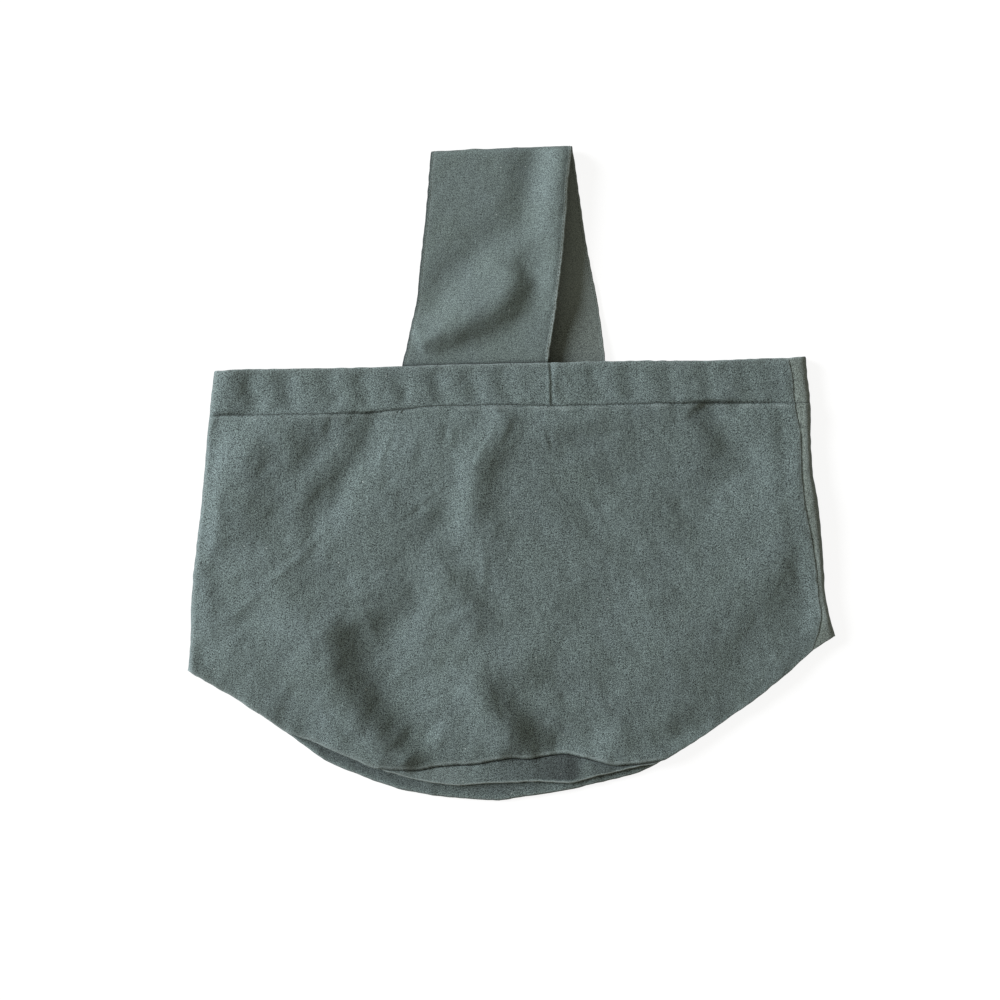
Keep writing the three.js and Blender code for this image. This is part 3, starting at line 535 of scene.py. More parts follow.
def clothMesh(name, middle, outward, wearAndPaintedLight, thickness=None):
    # A closed sheet from rows of places on its middle surface, with rounded edges, a UV map that
    # is the cloth's own width and length in metres, and its wear, painted shade and painted light.
    half = (thickness or cloth["thickness"]) / 2
    rows, columns = middle.shape[:2]
    onEdge = [(0, c) for c in range(columns - 1)] + [(r, columns - 1) for r in range(rows - 1)]
    onEdge += [(rows - 1, c) for c in range(columns - 1, 0, -1)] + [(r, 0) for r in range(rows - 1, 0, -1)]
    edgeRows = np.array([r for r, c in onEdge])
    edgeColumns = np.array([c for r, c in onEdge])
    inRows = np.clip(edgeRows, 1, rows - 2)
    inColumns = np.clip(edgeColumns, 1, columns - 2)
    outwards = unit(middle[edgeRows, edgeColumns] - middle[inRows, inColumns])
    rim = middle[edgeRows, edgeColumns] + outwards * cloth["edgeRound"]
    points = np.concatenate([(middle + outward * half).reshape(-1, 3),
                             (middle - outward * half).reshape(-1, 3), rim])
    number = np.arange(rows * columns).reshape(rows, columns)
    a, b, c, d = number[:-1, :-1], number[:-1, 1:], number[1:, 1:], number[1:, :-1]
    front = np.stack([a, b, c, d], -1).reshape(-1, 4)
    back = front[:, ::-1] + rows * columns
    ring = number[edgeRows, edgeColumns]
    nextRing = np.roll(ring, -1)
    middleRing = 2 * rows * columns + np.arange(len(ring))
    nextMiddle = np.roll(middleRing, -1)
    edgeFront = np.stack([nextRing, ring, middleRing, nextMiddle], -1)
    edgeBack = np.stack([nextMiddle, middleRing, ring + rows * columns, nextRing + rows * columns], -1)
    faces = np.concatenate([front, back, edgeFront, edgeBack])
    p = points[faces]
    volume = (p[:, 0] * np.cross(p[:, 1], p[:, 2])).sum() + (p[:, 0] * np.cross(p[:, 2], p[:, 3])).sum()
    if volume < 0:
        faces = faces[:, ::-1]
    stepAcross = np.linalg.norm(np.diff(middle, axis=1), axis=-1)
    stepAlong = np.linalg.norm(np.diff(middle, axis=0), axis=-1)
    u = np.concatenate([np.zeros((rows, 1)), np.cumsum(stepAcross, axis=1)], axis=1)
    w = np.concatenate([np.zeros((1, columns)), np.cumsum(stepAlong, axis=0)], axis=0)
    u = u - u[:, columns // 2][:, None]
    flat = np.stack([u, w], -1).reshape(-1, 2) / 1000
    flat = np.concatenate([flat, flat, flat[ring]])
    wornAndShaded = np.broadcast_to(wearAndPaintedLight, (rows, columns)).reshape(-1)
    wornAndShaded = np.concatenate([wornAndShaded, wornAndShaded, wornAndShaded[ring]])
    mesh = bpy.data.meshes.new(name)
    mesh.from_pydata((wrinkle(points) / 1000).tolist(), [], faces.tolist())
    layer = mesh.uv_layers.new(name="clothPlace")
    layer.data.foreach_set("uv", flat[faces.reshape(-1)].astype(np.float32).reshape(-1))
    attribute = mesh.attributes.new("wearAndPaintedLight", "FLOAT", "POINT")
    attribute.data.foreach_set("value", wornAndShaded.astype(np.float32))
    mesh.shade_smooth()
    piece = bpy.data.objects.new(name, mesh)
    bpy.context.scene.collection.objects.link(piece)
    return piece


def gridNormals(middle):
    across = np.gradient(middle, axis=1)
    along = np.gradient(middle, axis=0)
    return unit(np.cross(across, along))


def seamPlace(v):  # q of the right side seam, on the upper layer
    s = 0.9 + 0 * v
    for turn in range(4):
        top, low, xTop = tubeEnds(s)
        x = rightSeamAt(top * (1 - v) + low * v)
        left, right = innerEdges(v)
        s = np.clip(2 * (x - left) / (right - left) - 1, 0, 0.998)
    return s


def halfWidth(v):
    left, right = innerEdges(v)
    return (right - left) / 2


def wrapShare(v, beyond):  # the left seam's distance from the end of the lower layer, in q
    return (bag["sideWrap"] - curlRadius + beyond) / halfWidth(v)


def columnsOf(groups):  # columns across a panel, as groups of (shares, their q from v and share)
    def columnsAt(v):
        parts, start = [], 0
        for shares, place in groups:
            parts.append(place(v[:, start:start + len(shares)], shares[None, :]))
            start += len(shares)
        return np.concatenate(parts, axis=1)
    return columnsAt, sum(len(shares) for shares, place in groups)


def panelMesh(name, groups, step, wearAndLightAcross):
    columnsAt, count = columnsOf(groups)
    body, hemDepth = bag["bodyLength"], bag["hemDepth"]
    rows = [(1, 1 - share, 0) for share in spaced(body, step, closeEdge, (0, 0.8, 1.8, 3.2)) / body]
    rows += [(0, 1 - share, 0)
             for share in spaced(hemDepth, 1.5, (0, 0.5, 1.1, 2), (0, 0.8, 1.8))[1:] / hemDepth]
    rows += [(0, 0, turn) for turn in np.linspace(0, math.pi, bag["hemFoldSteps"] + 1)[1:-1]]
    rows += [(0, share, math.pi) for share in spaced(hemDepth, 3.2) / hemDepth]
    inBody, share, roll = (np.array(column, float)[:, None] for column in zip(*rows))
    hemTop = cloth["thickness"] / 2 + bag["hemFoldRadius"]
    v = np.full((len(rows), count), 0.5)
    for turn in range(5):
        q = columnsAt(v)
        top, low, xTop = tubeEnds(q)
        hem = top - stitchAt(xTop)
        distance = np.where(inBody > 0, hem + share * (top - low - hem), hemTop + share * (hem - hemTop))
        v = distance / (top - low)
    point, out, up = tubeFrame(columnsAt(v), v)
    rollOut = out * np.cos(roll)[..., None] + up * np.sin(roll)[..., None]
    middle = point + (rollOut - out) * bag["hemFoldRadius"]
    fromBottom = (top - low) * (1 - v)
    outer = roll < 1
    window = stripWindow(point[..., 0])
    # Along the bottom edge: pale rubbed wear that is also painted light, strongest on the left where the edge
    # faces the lamp. Where the strip shows: a pale lip, and painted shade in the crevice at the edge.
    wornAndLitBottomEdge = (1 - window) * (0.9 - 0.65 * ease(point[..., 0], 0, 120))
    paleLipAndCreviceShade = 0.6 * np.exp(-((fromBottom - 1.6) / 0.9) ** 2) - 0.6 * np.exp(-fromBottom / 0.5)
    wearAndPaintedLight = (np.exp(-fromBottom / 1.4) * wornAndLitBottomEdge + paleLipAndCreviceShade * window) * outer
    wearAndPaintedLight = np.maximum(wearAndPaintedLight, 0.8 * np.sin(roll) ** 2)
    wearAndPaintedLight = wearAndPaintedLight + 0.5 * np.exp(-distance / 1.8) * outer + wearAndLightAcross(q, v)
    puckers = np.clip(0.5 + 0.5 * sample(gatherWaves, point[..., 0], point[..., 1]), 0, 1)
    # Paler rubbed crests of the puckers below the hem's stitching: wear, and painted highlight too.
    wearAndPaintedLight = wearAndPaintedLight + 0.5 * puckers * np.exp(-((distance - hem - 1.9) / 1.1) ** 2) * outer * (q < 1)
    # Painted shade in the groove of the hem's stitching.
    wearAndPaintedLight = wearAndPaintedLight - 0.8 * np.exp(-((distance - hem) / 0.5) ** 2) * outer
    return clothMesh(name, middle, rollOut, np.clip(wearAndPaintedLight, -1, 1))


gap = cloth["seamGap"] / 2
panelWidth = bag["panelWidth"]
strapEdge = np.linspace(229, 237, 14) / panelWidth  # closer columns where the strap's edge shows through
frontGroups = [
    (np.array([1, 0.88, 0.7, 0.45, 0.2]), lambda v, share: -2 - wrapShare(v, -gap) * share),
    (np.linspace(-2, -1, 11), lambda v, share: share + 0 * v),
    (np.union1d(spaced(panelWidth, cloth["cellSize"], (0,), closeEdge)[1:] / panelWidth, strapEdge),
     lambda v, share: -1 + (seamPlace(v) - gap / halfWidth(v) + 1) * share),
]
backGroups = [
    (np.array([0, 0.07, 0.16, 0.3, 0.48, 0.72]),
     lambda v, share: seamPlace(v) * (1 - share) + share + gap / halfWidth(v) * (1 - share)),
    (np.linspace(1, 2, 11), lambda v, share: share + 0 * v),
    (spaced(panelWidth, 2.7, (0,), (0, 0.8, 2))[1:] / panelWidth,
     lambda v, share: 2 + (2 - wrapShare(v, gap)) * share),
]


# Pale along the right seam from rubbing, and a painted highlight on the left rolled edge, which faces the
# lamp.
def frontSeamWearAndLeftHighlight(q, v):
    toSeam = (seamPlace(v) - q) * halfWidth(v)
    return np.where(q > 0, 0.9 * np.exp(-np.abs(toSeam) / 0.9), 0.3 * (np.abs(np.abs(q) - 1.45) < 0.3))


# Pale on the right rolled edge: rubbed wear, and painted light where that edge turns away from the lamp.
def backEdgeWearAndLight(q, v):
    return np.where(q < 1, 0, 1.1 * np.exp(-((q - 1.4) / 0.3) ** 2))


frontPanel = panelMesh("frontPanel", frontGroups, cloth["cellSize"], frontSeamWearAndLeftHighlight)
backPanel = panelMesh("backPanel", backGroups, 2.7, backEdgeWearAndLight)
print("scene: front and back panels are made")

base = {
    "left": -207,
    "right": 202,
    "stripLevel": 7,
    "stripFoldRadius": 0.8,
    "paintedStripShade": -1.02,  # painted shade: the strip is darker towards its right end
    "pleatLevel": 5.4,
    "tuckLevel": 3.75,
    "pleatDepth": 38,  # of the pleat inside the bag, in the middle
    "pleatEnd": 5,  # and at the ends
    "paintedPleatShade": -0.62,  # painted shade on the pleat and on the band tucked under the strip
    "crevice": 0.6,  # width of the dark gap between the front panel's edge and the strip
    "halfLength": 216,
    "hiddenInset": 2.3,  # where the front panel's edge hides the seam, the seam lies this far in
}


def baseMesh():
    x = spaced(base["right"] - base["left"], 2.3) + base["left"]
    front, window = frontBottomAt(x), stripWindow(x)
    seamY = front - base["crevice"] * window + base["hiddenInset"] * (1 - window)
    foldY = baseFoldAt(x) * window + (front + 0.6) * (1 - window)
    foldRadius = base["stripFoldRadius"]
    stripEnd = np.minimum(foldY + foldRadius + cloth["thickness"] / 2, seamY - 0.15)
    pleatY = front + base["pleatEnd"] + (base["pleatDepth"] - base["pleatEnd"]) * (
        1 - (x / base["halfLength"]) ** 2)
    innerRadius = (base["pleatLevel"] - base["tuckLevel"]) / 2
    outerRadius = (base["tuckLevel"] - bag["backLevel"]) / 2
    edgeY = baseBottomAt(x) + outerRadius + cloth["thickness"] / 2
    endY = baseBottomAt(x) + bag["baseTuck"]
    rows = []  # y, z, the way out as y and z, and wear with painted shade and painted light

    def run(fromY, toY, level, out, shares, wornAndShaded):
        for share, rowWearAndShade in zip(shares, wornAndShaded):
            rows.append((fromY + (toY - fromY) * share, level + 0 * x, 0, out, rowWearAndShade + 0 * x))

    def fold(centreY, centreZ, radius, side, out, steps, wornAndShaded):
        for turn in np.linspace(0, math.pi, steps + 1)[1:-1]:
            reach, rise = side * math.sin(turn), math.cos(turn)
            rows.append((centreY + radius * reach, centreZ + radius * rise + 0 * x, out * reach, out * rise,
                         wornAndShaded + 0 * x))

    # Painted shade for the pleat and the tucked band, lifted a little just under the strip's fold.
    shade = base["paintedPleatShade"]
    nearEdge = np.array([0, 0.05, 0.12, 0.24, 0.38, 0.52, 0.66, 0.8, 0.9, 0.96, 1])
    # Painted shade along the strip: darkest in the crevice at the seam and towards the right end, paler at
    # the left end and where the strip's fold catches the light.
    stripFold = 0.9 * np.exp(-((x - 49) / 6) ** 2)  # catches the light
    paintedStripShade = base["paintedStripShade"] * ease(x, -50, 60) * (1 - stripFold) * (1 - 0.5 * ease(x, 50, 60))
    paintedStripShade += 0.2 * (1 - ease(x, -55, 5))
    run(seamY, stripEnd, base["stripLevel"], 1, nearEdge,
        [-1, -0.1 + paintedStripShade] + [paintedStripShade] * 7 + [paintedStripShade / 2, 0.4])
    fold(stripEnd, base["stripLevel"] - foldRadius, foldRadius, -1, 1, 9, 1.2)
    even = np.linspace(0, 1, 15)
    run(stripEnd, pleatY, base["pleatLevel"], -1, even, 0.6 * (even < 0.02) + shade)
    fold(pleatY, base["tuckLevel"] + innerRadius, innerRadius, 1, -1, 7, shade)
    even = np.linspace(0, 1, 27)
    underFold = [np.exp(-((stripEnd - pleatY - (edgeY - pleatY) * share - 0.8) / 2) ** 2) for share in even]
    tuckShade = [shade * (1 - share ** 16) * (1 - 0.8 * near) for share, near in zip(even, underFold)]
    run(pleatY, edgeY, base["tuckLevel"], 1, even, tuckShade)
    fold(edgeY, bag["backLevel"] + outerRadius, outerRadius, -1, 1, 10, 0.35)
    run(edgeY, endY, bag["backLevel"], -1, np.linspace(0, 1, 5), np.zeros(5))
    middle = np.array([np.stack([x, y, z], -1) for y, z, oy, oz, wornAndShaded in rows])
    out = np.array([np.tile([0, oy, oz], (len(x), 1)) for y, z, oy, oz, wornAndShaded in rows])
    wearAndPaintedLight = np.array([wornAndShaded for y, z, oy, oz, wornAndShaded in rows])
    return clothMesh("basePanel", middle, out, wearAndPaintedLight)


basePanel = baseMesh()

seam = {
    "thickness": 1.8,  # two sewn edges pressed together
    "inset": 1.65,  # its middle lies this far inside the panel's
    "top": 0.157,  # the side seams' allowances start here on the way down the bag
    "sideEnd": 0.93,
    "baseReach": 0.9,  # share of the half width that the base seams' allowances reach
    "shade": -0.7,  # darker than the outside
}


def seamMesh(name, q, v):
    point, out, up = tubeFrame(q, v)
    return clothMesh(name, point - out * seam["inset"], out, seam["shade"], seam["thickness"])


sideV = np.linspace(seam["top"], seam["sideEnd"], 110)[:, None] + np.zeros((1, 5))
allowance = np.linspace(0, bag["seamAllowance"], 5)[None, :]
leftSeam = seamMesh("leftSideSeam", -2 - wrapShare(sideV, allowance), sideV)
rightSeam = seamMesh("rightSideSeam", seamPlace(sideV) - allowance / halfWidth(sideV), sideV)
baseS = np.linspace(-seam["baseReach"], seam["baseReach"], 170)[None, :] + np.zeros((5, 1))


def baseSeamMesh(name, q, shift):
    top, low, xTop = tubeEnds(q)
    return seamMesh(name, q, 1 - (shift + allowance.T) / (top - low))


hiddenShift = (base["hiddenInset"] + cloth["seamGap"]) * (
    1 - stripWindow(tubeAcross(baseS, 1 + 0 * baseS)[0]))
frontBaseSeam = baseSeamMesh("frontBaseSeam", baseS, hiddenShift)
backBaseSeam = baseSeamMesh("backBaseSeam", 3 - baseS, 0)
print("scene: base panel and seams are made")


def strapRows():
    across = spaced(strap["meanWidth"], 2.2, closeEdge[:6], closeEdge[:6]) / strap["meanWidth"]
    foldRadius = (strap["foldLevel"] - bag["backLevel"]) / 2
    foldCentre = (strap["foldLevel"] + bag["backLevel"]) / 2
    hemInset = 2 * cloth["layerPitch"]
    drawIn = strap["edgeWave"]

    def edgesAt(y, front):
        narrowing = (strap["widthAtFold"] - strap["widthAtMouth"]) * ease(y, mouthLine, strap["foldLine"])
        width = strap["widthAtMouth"] + narrowing
        left = frontLeftAt(y) if front else backRightAt(y) - width
        right = frontRightAt(y) if front else backRightAt(y)
        wave = drawIn * np.sin(2 * math.pi * y / strap["edgeWaveLength"] + 0.9 * np.sin(y / 19))
        onLoop = ease(y, mouthLine, mouthLine + 6)
        return left + wave * onLoop, right - wave * onLoop

    def rootLevel(x, y):
        return upperFace(x, np.minimum(y, mouthLine)) - cloth["thickness"] / 2 - hemInset

    def leg(share, front):  # share is below 0 inside the hem, and 0 to 1 along the loop
        y = np.full(across.shape, mouthLine, float)
        for turn in range(3):
            left, right = edgesAt(y, front)
            x = left + (right - left) * across
            foldY = strapTopAt(x) - foldRadius - cloth["thickness"] / 2
            y = mouthLine + share * (foldY - mouthLine)
        if front:
            root = rootLevel(x, y)
            z = root + (strap["foldLevel"] - root) * max(share, 0)
        else:
            z = bag["backLevel"] + hemInset * (1 - ease(y, mouthLine, mouthLine + strap["settleLength"]))
        return np.stack([x, y, z], -1)

    def turned(turn):
        start, end = leg(1, True), leg(1, False)
        share = turn / math.pi
        x = start[:, 0] * (1 - share) + end[:, 0] * share
        y = start[:, 1] * (1 - share) + end[:, 1] * share + foldRadius * math.sin(turn)
        return np.stack([x, y, foldCentre + foldRadius * math.cos(turn) + 0 * x], -1)

    tail = -(bag["hemDepth"] + strap["endTail"]) / strap["loopLength"]
    legShares = np.concatenate([np.linspace(tail, 0, 17)[:-1], np.linspace(0, 1, 70)])
    turns = np.linspace(0, math.pi, strap["foldSteps"] + 1)[1:-1]
    rows = [leg(share, True) for share in legShares] + [turned(turn) for turn in turns]
    rows += [leg(share, False) for share in legShares[::-1]]
    return np.array(rows), across


strapMiddle, strapAcross = strapRows()
strapOut = gridNormals(strapMiddle)
edgeDistance = strap["meanWidth"] * np.minimum(strapAcross, 1 - strapAcross)[None, :]
edgeWear = np.clip(np.exp(-edgeDistance / 1.1), 0, 1)
fromLeftEdge = strap["meanWidth"] * strapAcross[None, :]
fromRightEdge = strap["meanWidth"] * (1 - strapAcross[None, :])
# Painted shade as a dark line on the strap's left edge, with a paler band just inside it. On the right: a
# pale rubbed edge, and painted shade in the groove of its stitching.
shadedEdge = 0.35 * np.exp(-((fromLeftEdge - 2.2) / 0.8) ** 2) - 0.9 * np.exp(-(fromLeftEdge / 0.9) ** 2)
paleEdgeAndGrooveShade = 1 - ease(fromRightEdge, 1.4, 2.4) - 0.35 * np.exp(-((fromRightEdge - 3) / 0.6) ** 2)
liningInset = cloth["layerPitch"] - 0.2 * np.exp(-edgeDistance / 2.5)
liningMiddle = strapMiddle - strapOut * liningInset[..., None]
# Painted shade where the strap comes out of the hem.
rootShade = 0.9 * np.exp(-np.abs(strapMiddle[..., 1] - mouthLine) / strap["rootShadeReach"])
outerWearAndShade = (shadedEdge + paleEdgeAndGrooveShade) * (1 - rootShade) - rootShade
strapOuter = clothMesh("strapOuter", strapMiddle, strapOut, outerWearAndShade)
# Painted light: the back leg is paler towards the fold, against the shadow that the front leg casts on it.
paintedLiningLight = 0.5 * ease(strapMiddle[..., 1], 90, 130)
strapLining = clothMesh("strapLining", liningMiddle, strapOut, np.maximum(edgeWear, paintedLiningLight))
print("scene: strap is made")

# Materials. Colours are sRGB as the eye sees them.


def linear(hexColour):
    parts = [int(hexColour[i:i + 2], 16) / 255 for i in (1, 3, 5)]
    return [p / 12.92 if p <= 0.04045 else ((p + 0.055) / 1.055) ** 2.4 for p in parts] + [1.0]


def addNode(tree, kind, settings=None, **inputs):
    # An input's value is a number, a colour or another node's output socket. Sockets that share
    # a name are given by number, as in0, in1 and so on.
    made = tree.nodes.new(kind)
    for name, value in (settings or {}).items():
        setattr(made, name, value)
    for name, value in inputs.items():
        numbered = name[:2] == "in" and name[2:].isdigit()
        socket = made.inputs[int(name[2:])] if numbered else made.inputs[name.replace("_", " ")]
        if isinstance(value, bpy.types.NodeSocket):
            tree.links.new(value, socket)
        else:
            socket.default_value = value
    return made


def newMaterial(name):
    material = bpy.data.materials.new(name)
    material.use_nodes = True
    material.node_tree.nodes.clear()
    return material, material.node_tree


canvas = {
    "yarn": 0.8,  # mm from yarn to yarn. The real canvas has about 0.6, too fine to show here.
    "yarnShade": 0.16,  # how much darker the hollows between yarns are
    "warp": 0.5,  # uneven yarns, seen as streaks
    "weft": 0.65,
    "grain": 1.2,  # slubs of about 1 mm
    "flecks": 1.35,  # paler and darker fibres
    "mottling": 0.05,  # uneven dye after washing
    # pale colour both for rubbed wear and for painted highlights
    "wearAndHighlightColour": "#a0adac",
    "paintedShadeFactor": (0.29, 0.27, 0.28),  # painted shade: the colour is multiplied by this in creases, crevices and other places whose values are below 0
    "lintColour": "#b9c2c0",  # a few short white fibres
    "bump": 0.35,
}


def canvasMaterial(name, colour, tint, contrast=1.0):
    # Washed cotton canvas, woven and garment-dyed: matt, grainy, with pale rubbed edges, painted highlights
    # and painted shade.
    material, tree = newMaterial(name)

    def math2(operation, a, b=0.0, c=0.0, clamp=False):
        return addNode(tree, "ShaderNodeMath", {"operation": operation, "use_clamp": clamp}, in0=a, in1=b,
                       in2=c).outputs[0]

    place = addNode(tree, "ShaderNodeUVMap", {"uv_map": "clothPlace"}).outputs[0]
    inMm = addNode(tree, "ShaderNodeVectorMath", {"operation": "SCALE"}, Vector=place,
                   Scale=1000.0).outputs[0]
    bend = addNode(tree, "ShaderNodeTexNoise", {"noise_dimensions": "2D"}, Vector=inMm, Scale=0.09,
                   Detail=2.0)
    bent = addNode(tree, "ShaderNodeVectorMath", {"operation": "MULTIPLY_ADD"}, in0=bend.outputs["Color"],
                   in1=(2.6, 2.6, 0), in2=inMm).outputs[0]
    parts = addNode(tree, "ShaderNodeSeparateXYZ", Vector=bent)

    def yarns(stretch, seed):  # soft uneven threads along one direction of the cloth
        moved = addNode(tree, "ShaderNodeMapping", Vector=bent, Scale=(*stretch, 1),
                        Location=(seed, seed, 0)).outputs[0]
        return addNode(tree, "ShaderNodeTexNoise", {"noise_dimensions": "2D"}, Vector=moved,
                       Scale=1.0, Detail=1.0, Roughness=0.5).outputs[0]

    warp = yarns((0.45, 0.14), 3)
    weft = yarns((0.2, 0.8), 17)
    waveU = math2("SINE", math2("MULTIPLY", parts.outputs[0], 2 * math.pi / (2 * canvas["yarn"])))
    waveV = math2("SINE", math2("MULTIPLY", parts.outputs[1], 2 * math.pi / (2 * canvas["yarn"])))
    over = math2("MULTIPLY", waveU, waveV)
    streaks = math2("ADD", math2("MULTIPLY", math2("SUBTRACT", warp, 0.5), canvas["warp"]),
                    math2("MULTIPLY", math2("SUBTRACT", weft, 0.5), canvas["weft"]))
    grain = addNode(tree, "ShaderNodeTexNoise", {"noise_dimensions": "2D"}, Vector=inMm, Scale=0.95,
                    Detail=0.0).outputs[0]
    slubs = math2("MULTIPLY", math2("SUBTRACT", grain, 0.5), canvas["grain"])
    weave = math2("ADD", math2("ADD", streaks, slubs), math2("MULTIPLY", over, canvas["yarnShade"]))
    fleck = addNode(tree, "ShaderNodeTexNoise", {"noise_dimensions": "2D"}, Vector=inMm, Scale=1.9,
                    Detail=0.0).outputs[0]
    cloudy = addNode(tree, "ShaderNodeTexNoise", {"noise_dimensions": "2D"}, Vector=inMm, Scale=0.035,
                     Detail=4.0, Roughness=0.55).outputs[0]
    shade = math2("MULTIPLY_ADD", math2("SUBTRACT", fleck, 0.5), canvas["flecks"] * 2, weave)
    shade = math2("MULTIPLY", shade, contrast)
    shade = math2("ADD", shade, math2("MULTIPLY", math2("SUBTRACT", cloudy, 0.5), canvas["mottling"] * 2))
    bright = math2("ADD", shade, 1.0)
    plain = addNode(tree, "ShaderNodeMix", {"data_type": "RGBA"},
                    Factor=math2("MULTIPLY", cloudy, 0.9, clamp=True),
                    in6=linear(colour), in7=linear(tint)).outputs[2]
    grained = addNode(tree, "ShaderNodeVectorMath", {"operation": "SCALE"}, Vector=plain,
                      Scale=bright).outputs[0]
    wornAndShaded = addNode(tree, "ShaderNodeAttribute", {"attribute_name": "wearAndPaintedLight"}).outputs["Fac"]
    # Values above 0 pale the colour, as rubbed wear and as painted highlights. Values below 0 darken it, as
    # painted shade.
    paledByWearAndLight = math2("MULTIPLY", wornAndShaded, math2("MULTIPLY_ADD", fleck, 0.8, 0.3), clamp=True)
    colourOut = addNode(tree, "ShaderNodeMix", {"data_type": "RGBA"}, Factor=math2("MULTIPLY", paledByWearAndLight, 0.85),
                        in6=grained, in7=linear(canvas["wearAndHighlightColour"])).outputs[2]
    height = math2("ADD", weave, math2("MULTIPLY", fleck, 0.9))
    bump = addNode(tree, "ShaderNodeBump", Strength=canvas["bump"], Distance=0.0003, Height=height).outputs[0]
    roughness = math2("MULTIPLY_ADD", fleck, 0.1, 0.86)
    lint = addNode(tree, "ShaderNodeTexVoronoi", {"voronoi_dimensions": "2D"}, Vector=inMm, Scale=0.06)
    chance = addNode(tree, "ShaderNodeSeparateColor", Color=lint.outputs["Color"]).outputs[0]
    rare = math2("GREATER_THAN", chance, 0.91)
    speck = math2("MULTIPLY", rare, math2("LESS_THAN", lint.outputs["Distance"], 0.024))
    colourOut = addNode(tree, "ShaderNodeMix", {"data_type": "RGBA"}, Factor=math2("MULTIPLY", speck, 0.8),
                        in6=colourOut, in7=linear(canvas["lintColour"])).outputs[2]
    paintedShadeAmount = math2("MULTIPLY", wornAndShaded, -1.0, clamp=True)
    darker = addNode(tree, "ShaderNodeVectorMath", {"operation": "MULTIPLY"}, in0=colourOut,
                     in1=canvas["paintedShadeFactor"]).outputs[0]
    colourOut = addNode(tree, "ShaderNodeMix", {"data_type": "RGBA"}, Factor=math2("MULTIPLY", paintedShadeAmount, 0.9),
                        in6=colourOut, in7=darker).outputs[2]
    shader = addNode(tree, "ShaderNodeBsdfPrincipled", Base_Color=colourOut, Roughness=roughness, Normal=bump)
    shader.inputs["Specular IOR Level"].default_value = 0.25
    shader.inputs["Sheen Weight"].default_value = 0.06
    shader.inputs["Sheen Roughness"].default_value = 0.5
    addNode(tree, "ShaderNodeOutputMaterial", Surface=shader.outputs[0])
    return material


washedCanvas = canvasMaterial("washedCottonCanvas", "#65726f", "#636f70")
backCanvas = canvasMaterial("washedCanvasBack", "#6b756f", "#6a736e")
strapCanvas = canvasMaterial("washedCanvasStrap", "#6a7773", "#677374", contrast=0.66)
# The lining's colour is paler than the main canvas: painted light, against the shadow that the front leg
# casts on the back leg.
liningCanvas = canvasMaterial("washedCanvasLining", "#6b746f", "#68716e", contrast=0.66)
seamCanvas = canvasMaterial("washedCanvasInside", "#626e6a", "#606b69")


def threadMaterial(name, dark, light):
    # Spun polyester sewing thread dyed to match, a little glossier than the canvas. The hem's darker colours
    # are painted shade.
    material, tree = newMaterial(name)
    place = addNode(tree, "ShaderNodeTexCoord").outputs["Object"]
    noise = addNode(tree, "ShaderNodeTexNoise", Vector=place, Scale=2500.0, Detail=1.0).outputs[0]
    colour = addNode(tree, "ShaderNodeMix", {"data_type": "RGBA"}, Factor=noise,
                     in6=linear(dark), in7=linear(light)).outputs[2]
    bump = addNode(tree, "ShaderNodeBump", Strength=0.3, Distance=0.0001, Height=noise).outputs[0]
    shader = addNode(tree, "ShaderNodeBsdfPrincipled", Base_Color=colour, Roughness=0.7, Normal=bump)
    addNode(tree, "ShaderNodeOutputMaterial", Surface=shader.outputs[0])
    return material


# The hem's thread is much darker than the cloth: painted shade of the stitches sunk into their groove and of
# the needle holes.
hemThreadPaintedShade = threadMaterial("spunThreadPaintedShade", "#2f3835", "#46514d")
strapThread = threadMaterial("spunSewingThreadPale", "#56615d", "#6c7774")
for piece, material in ((frontPanel, washedCanvas), (backPanel, backCanvas), (basePanel, washedCanvas),
                        (leftSeam, seamCanvas), (rightSeam, seamCanvas), (frontBaseSeam, seamCanvas),
                        (backBaseSeam, seamCanvas), (strapOuter, strapCanvas), (strapLining, liningCanvas)):
    piece.data.materials.append(material)

# Stitches follow lines on the finished cloth.
stitches = {
    "pitch": 2.7,  # mm from stitch to stitch
    "hemSize": (1.6, 0.85, 0.5),  # length, width and height
    "strapSize": (2.1, 0.5, 0.36),
    "segments": 8,
    "rings": 5,
}


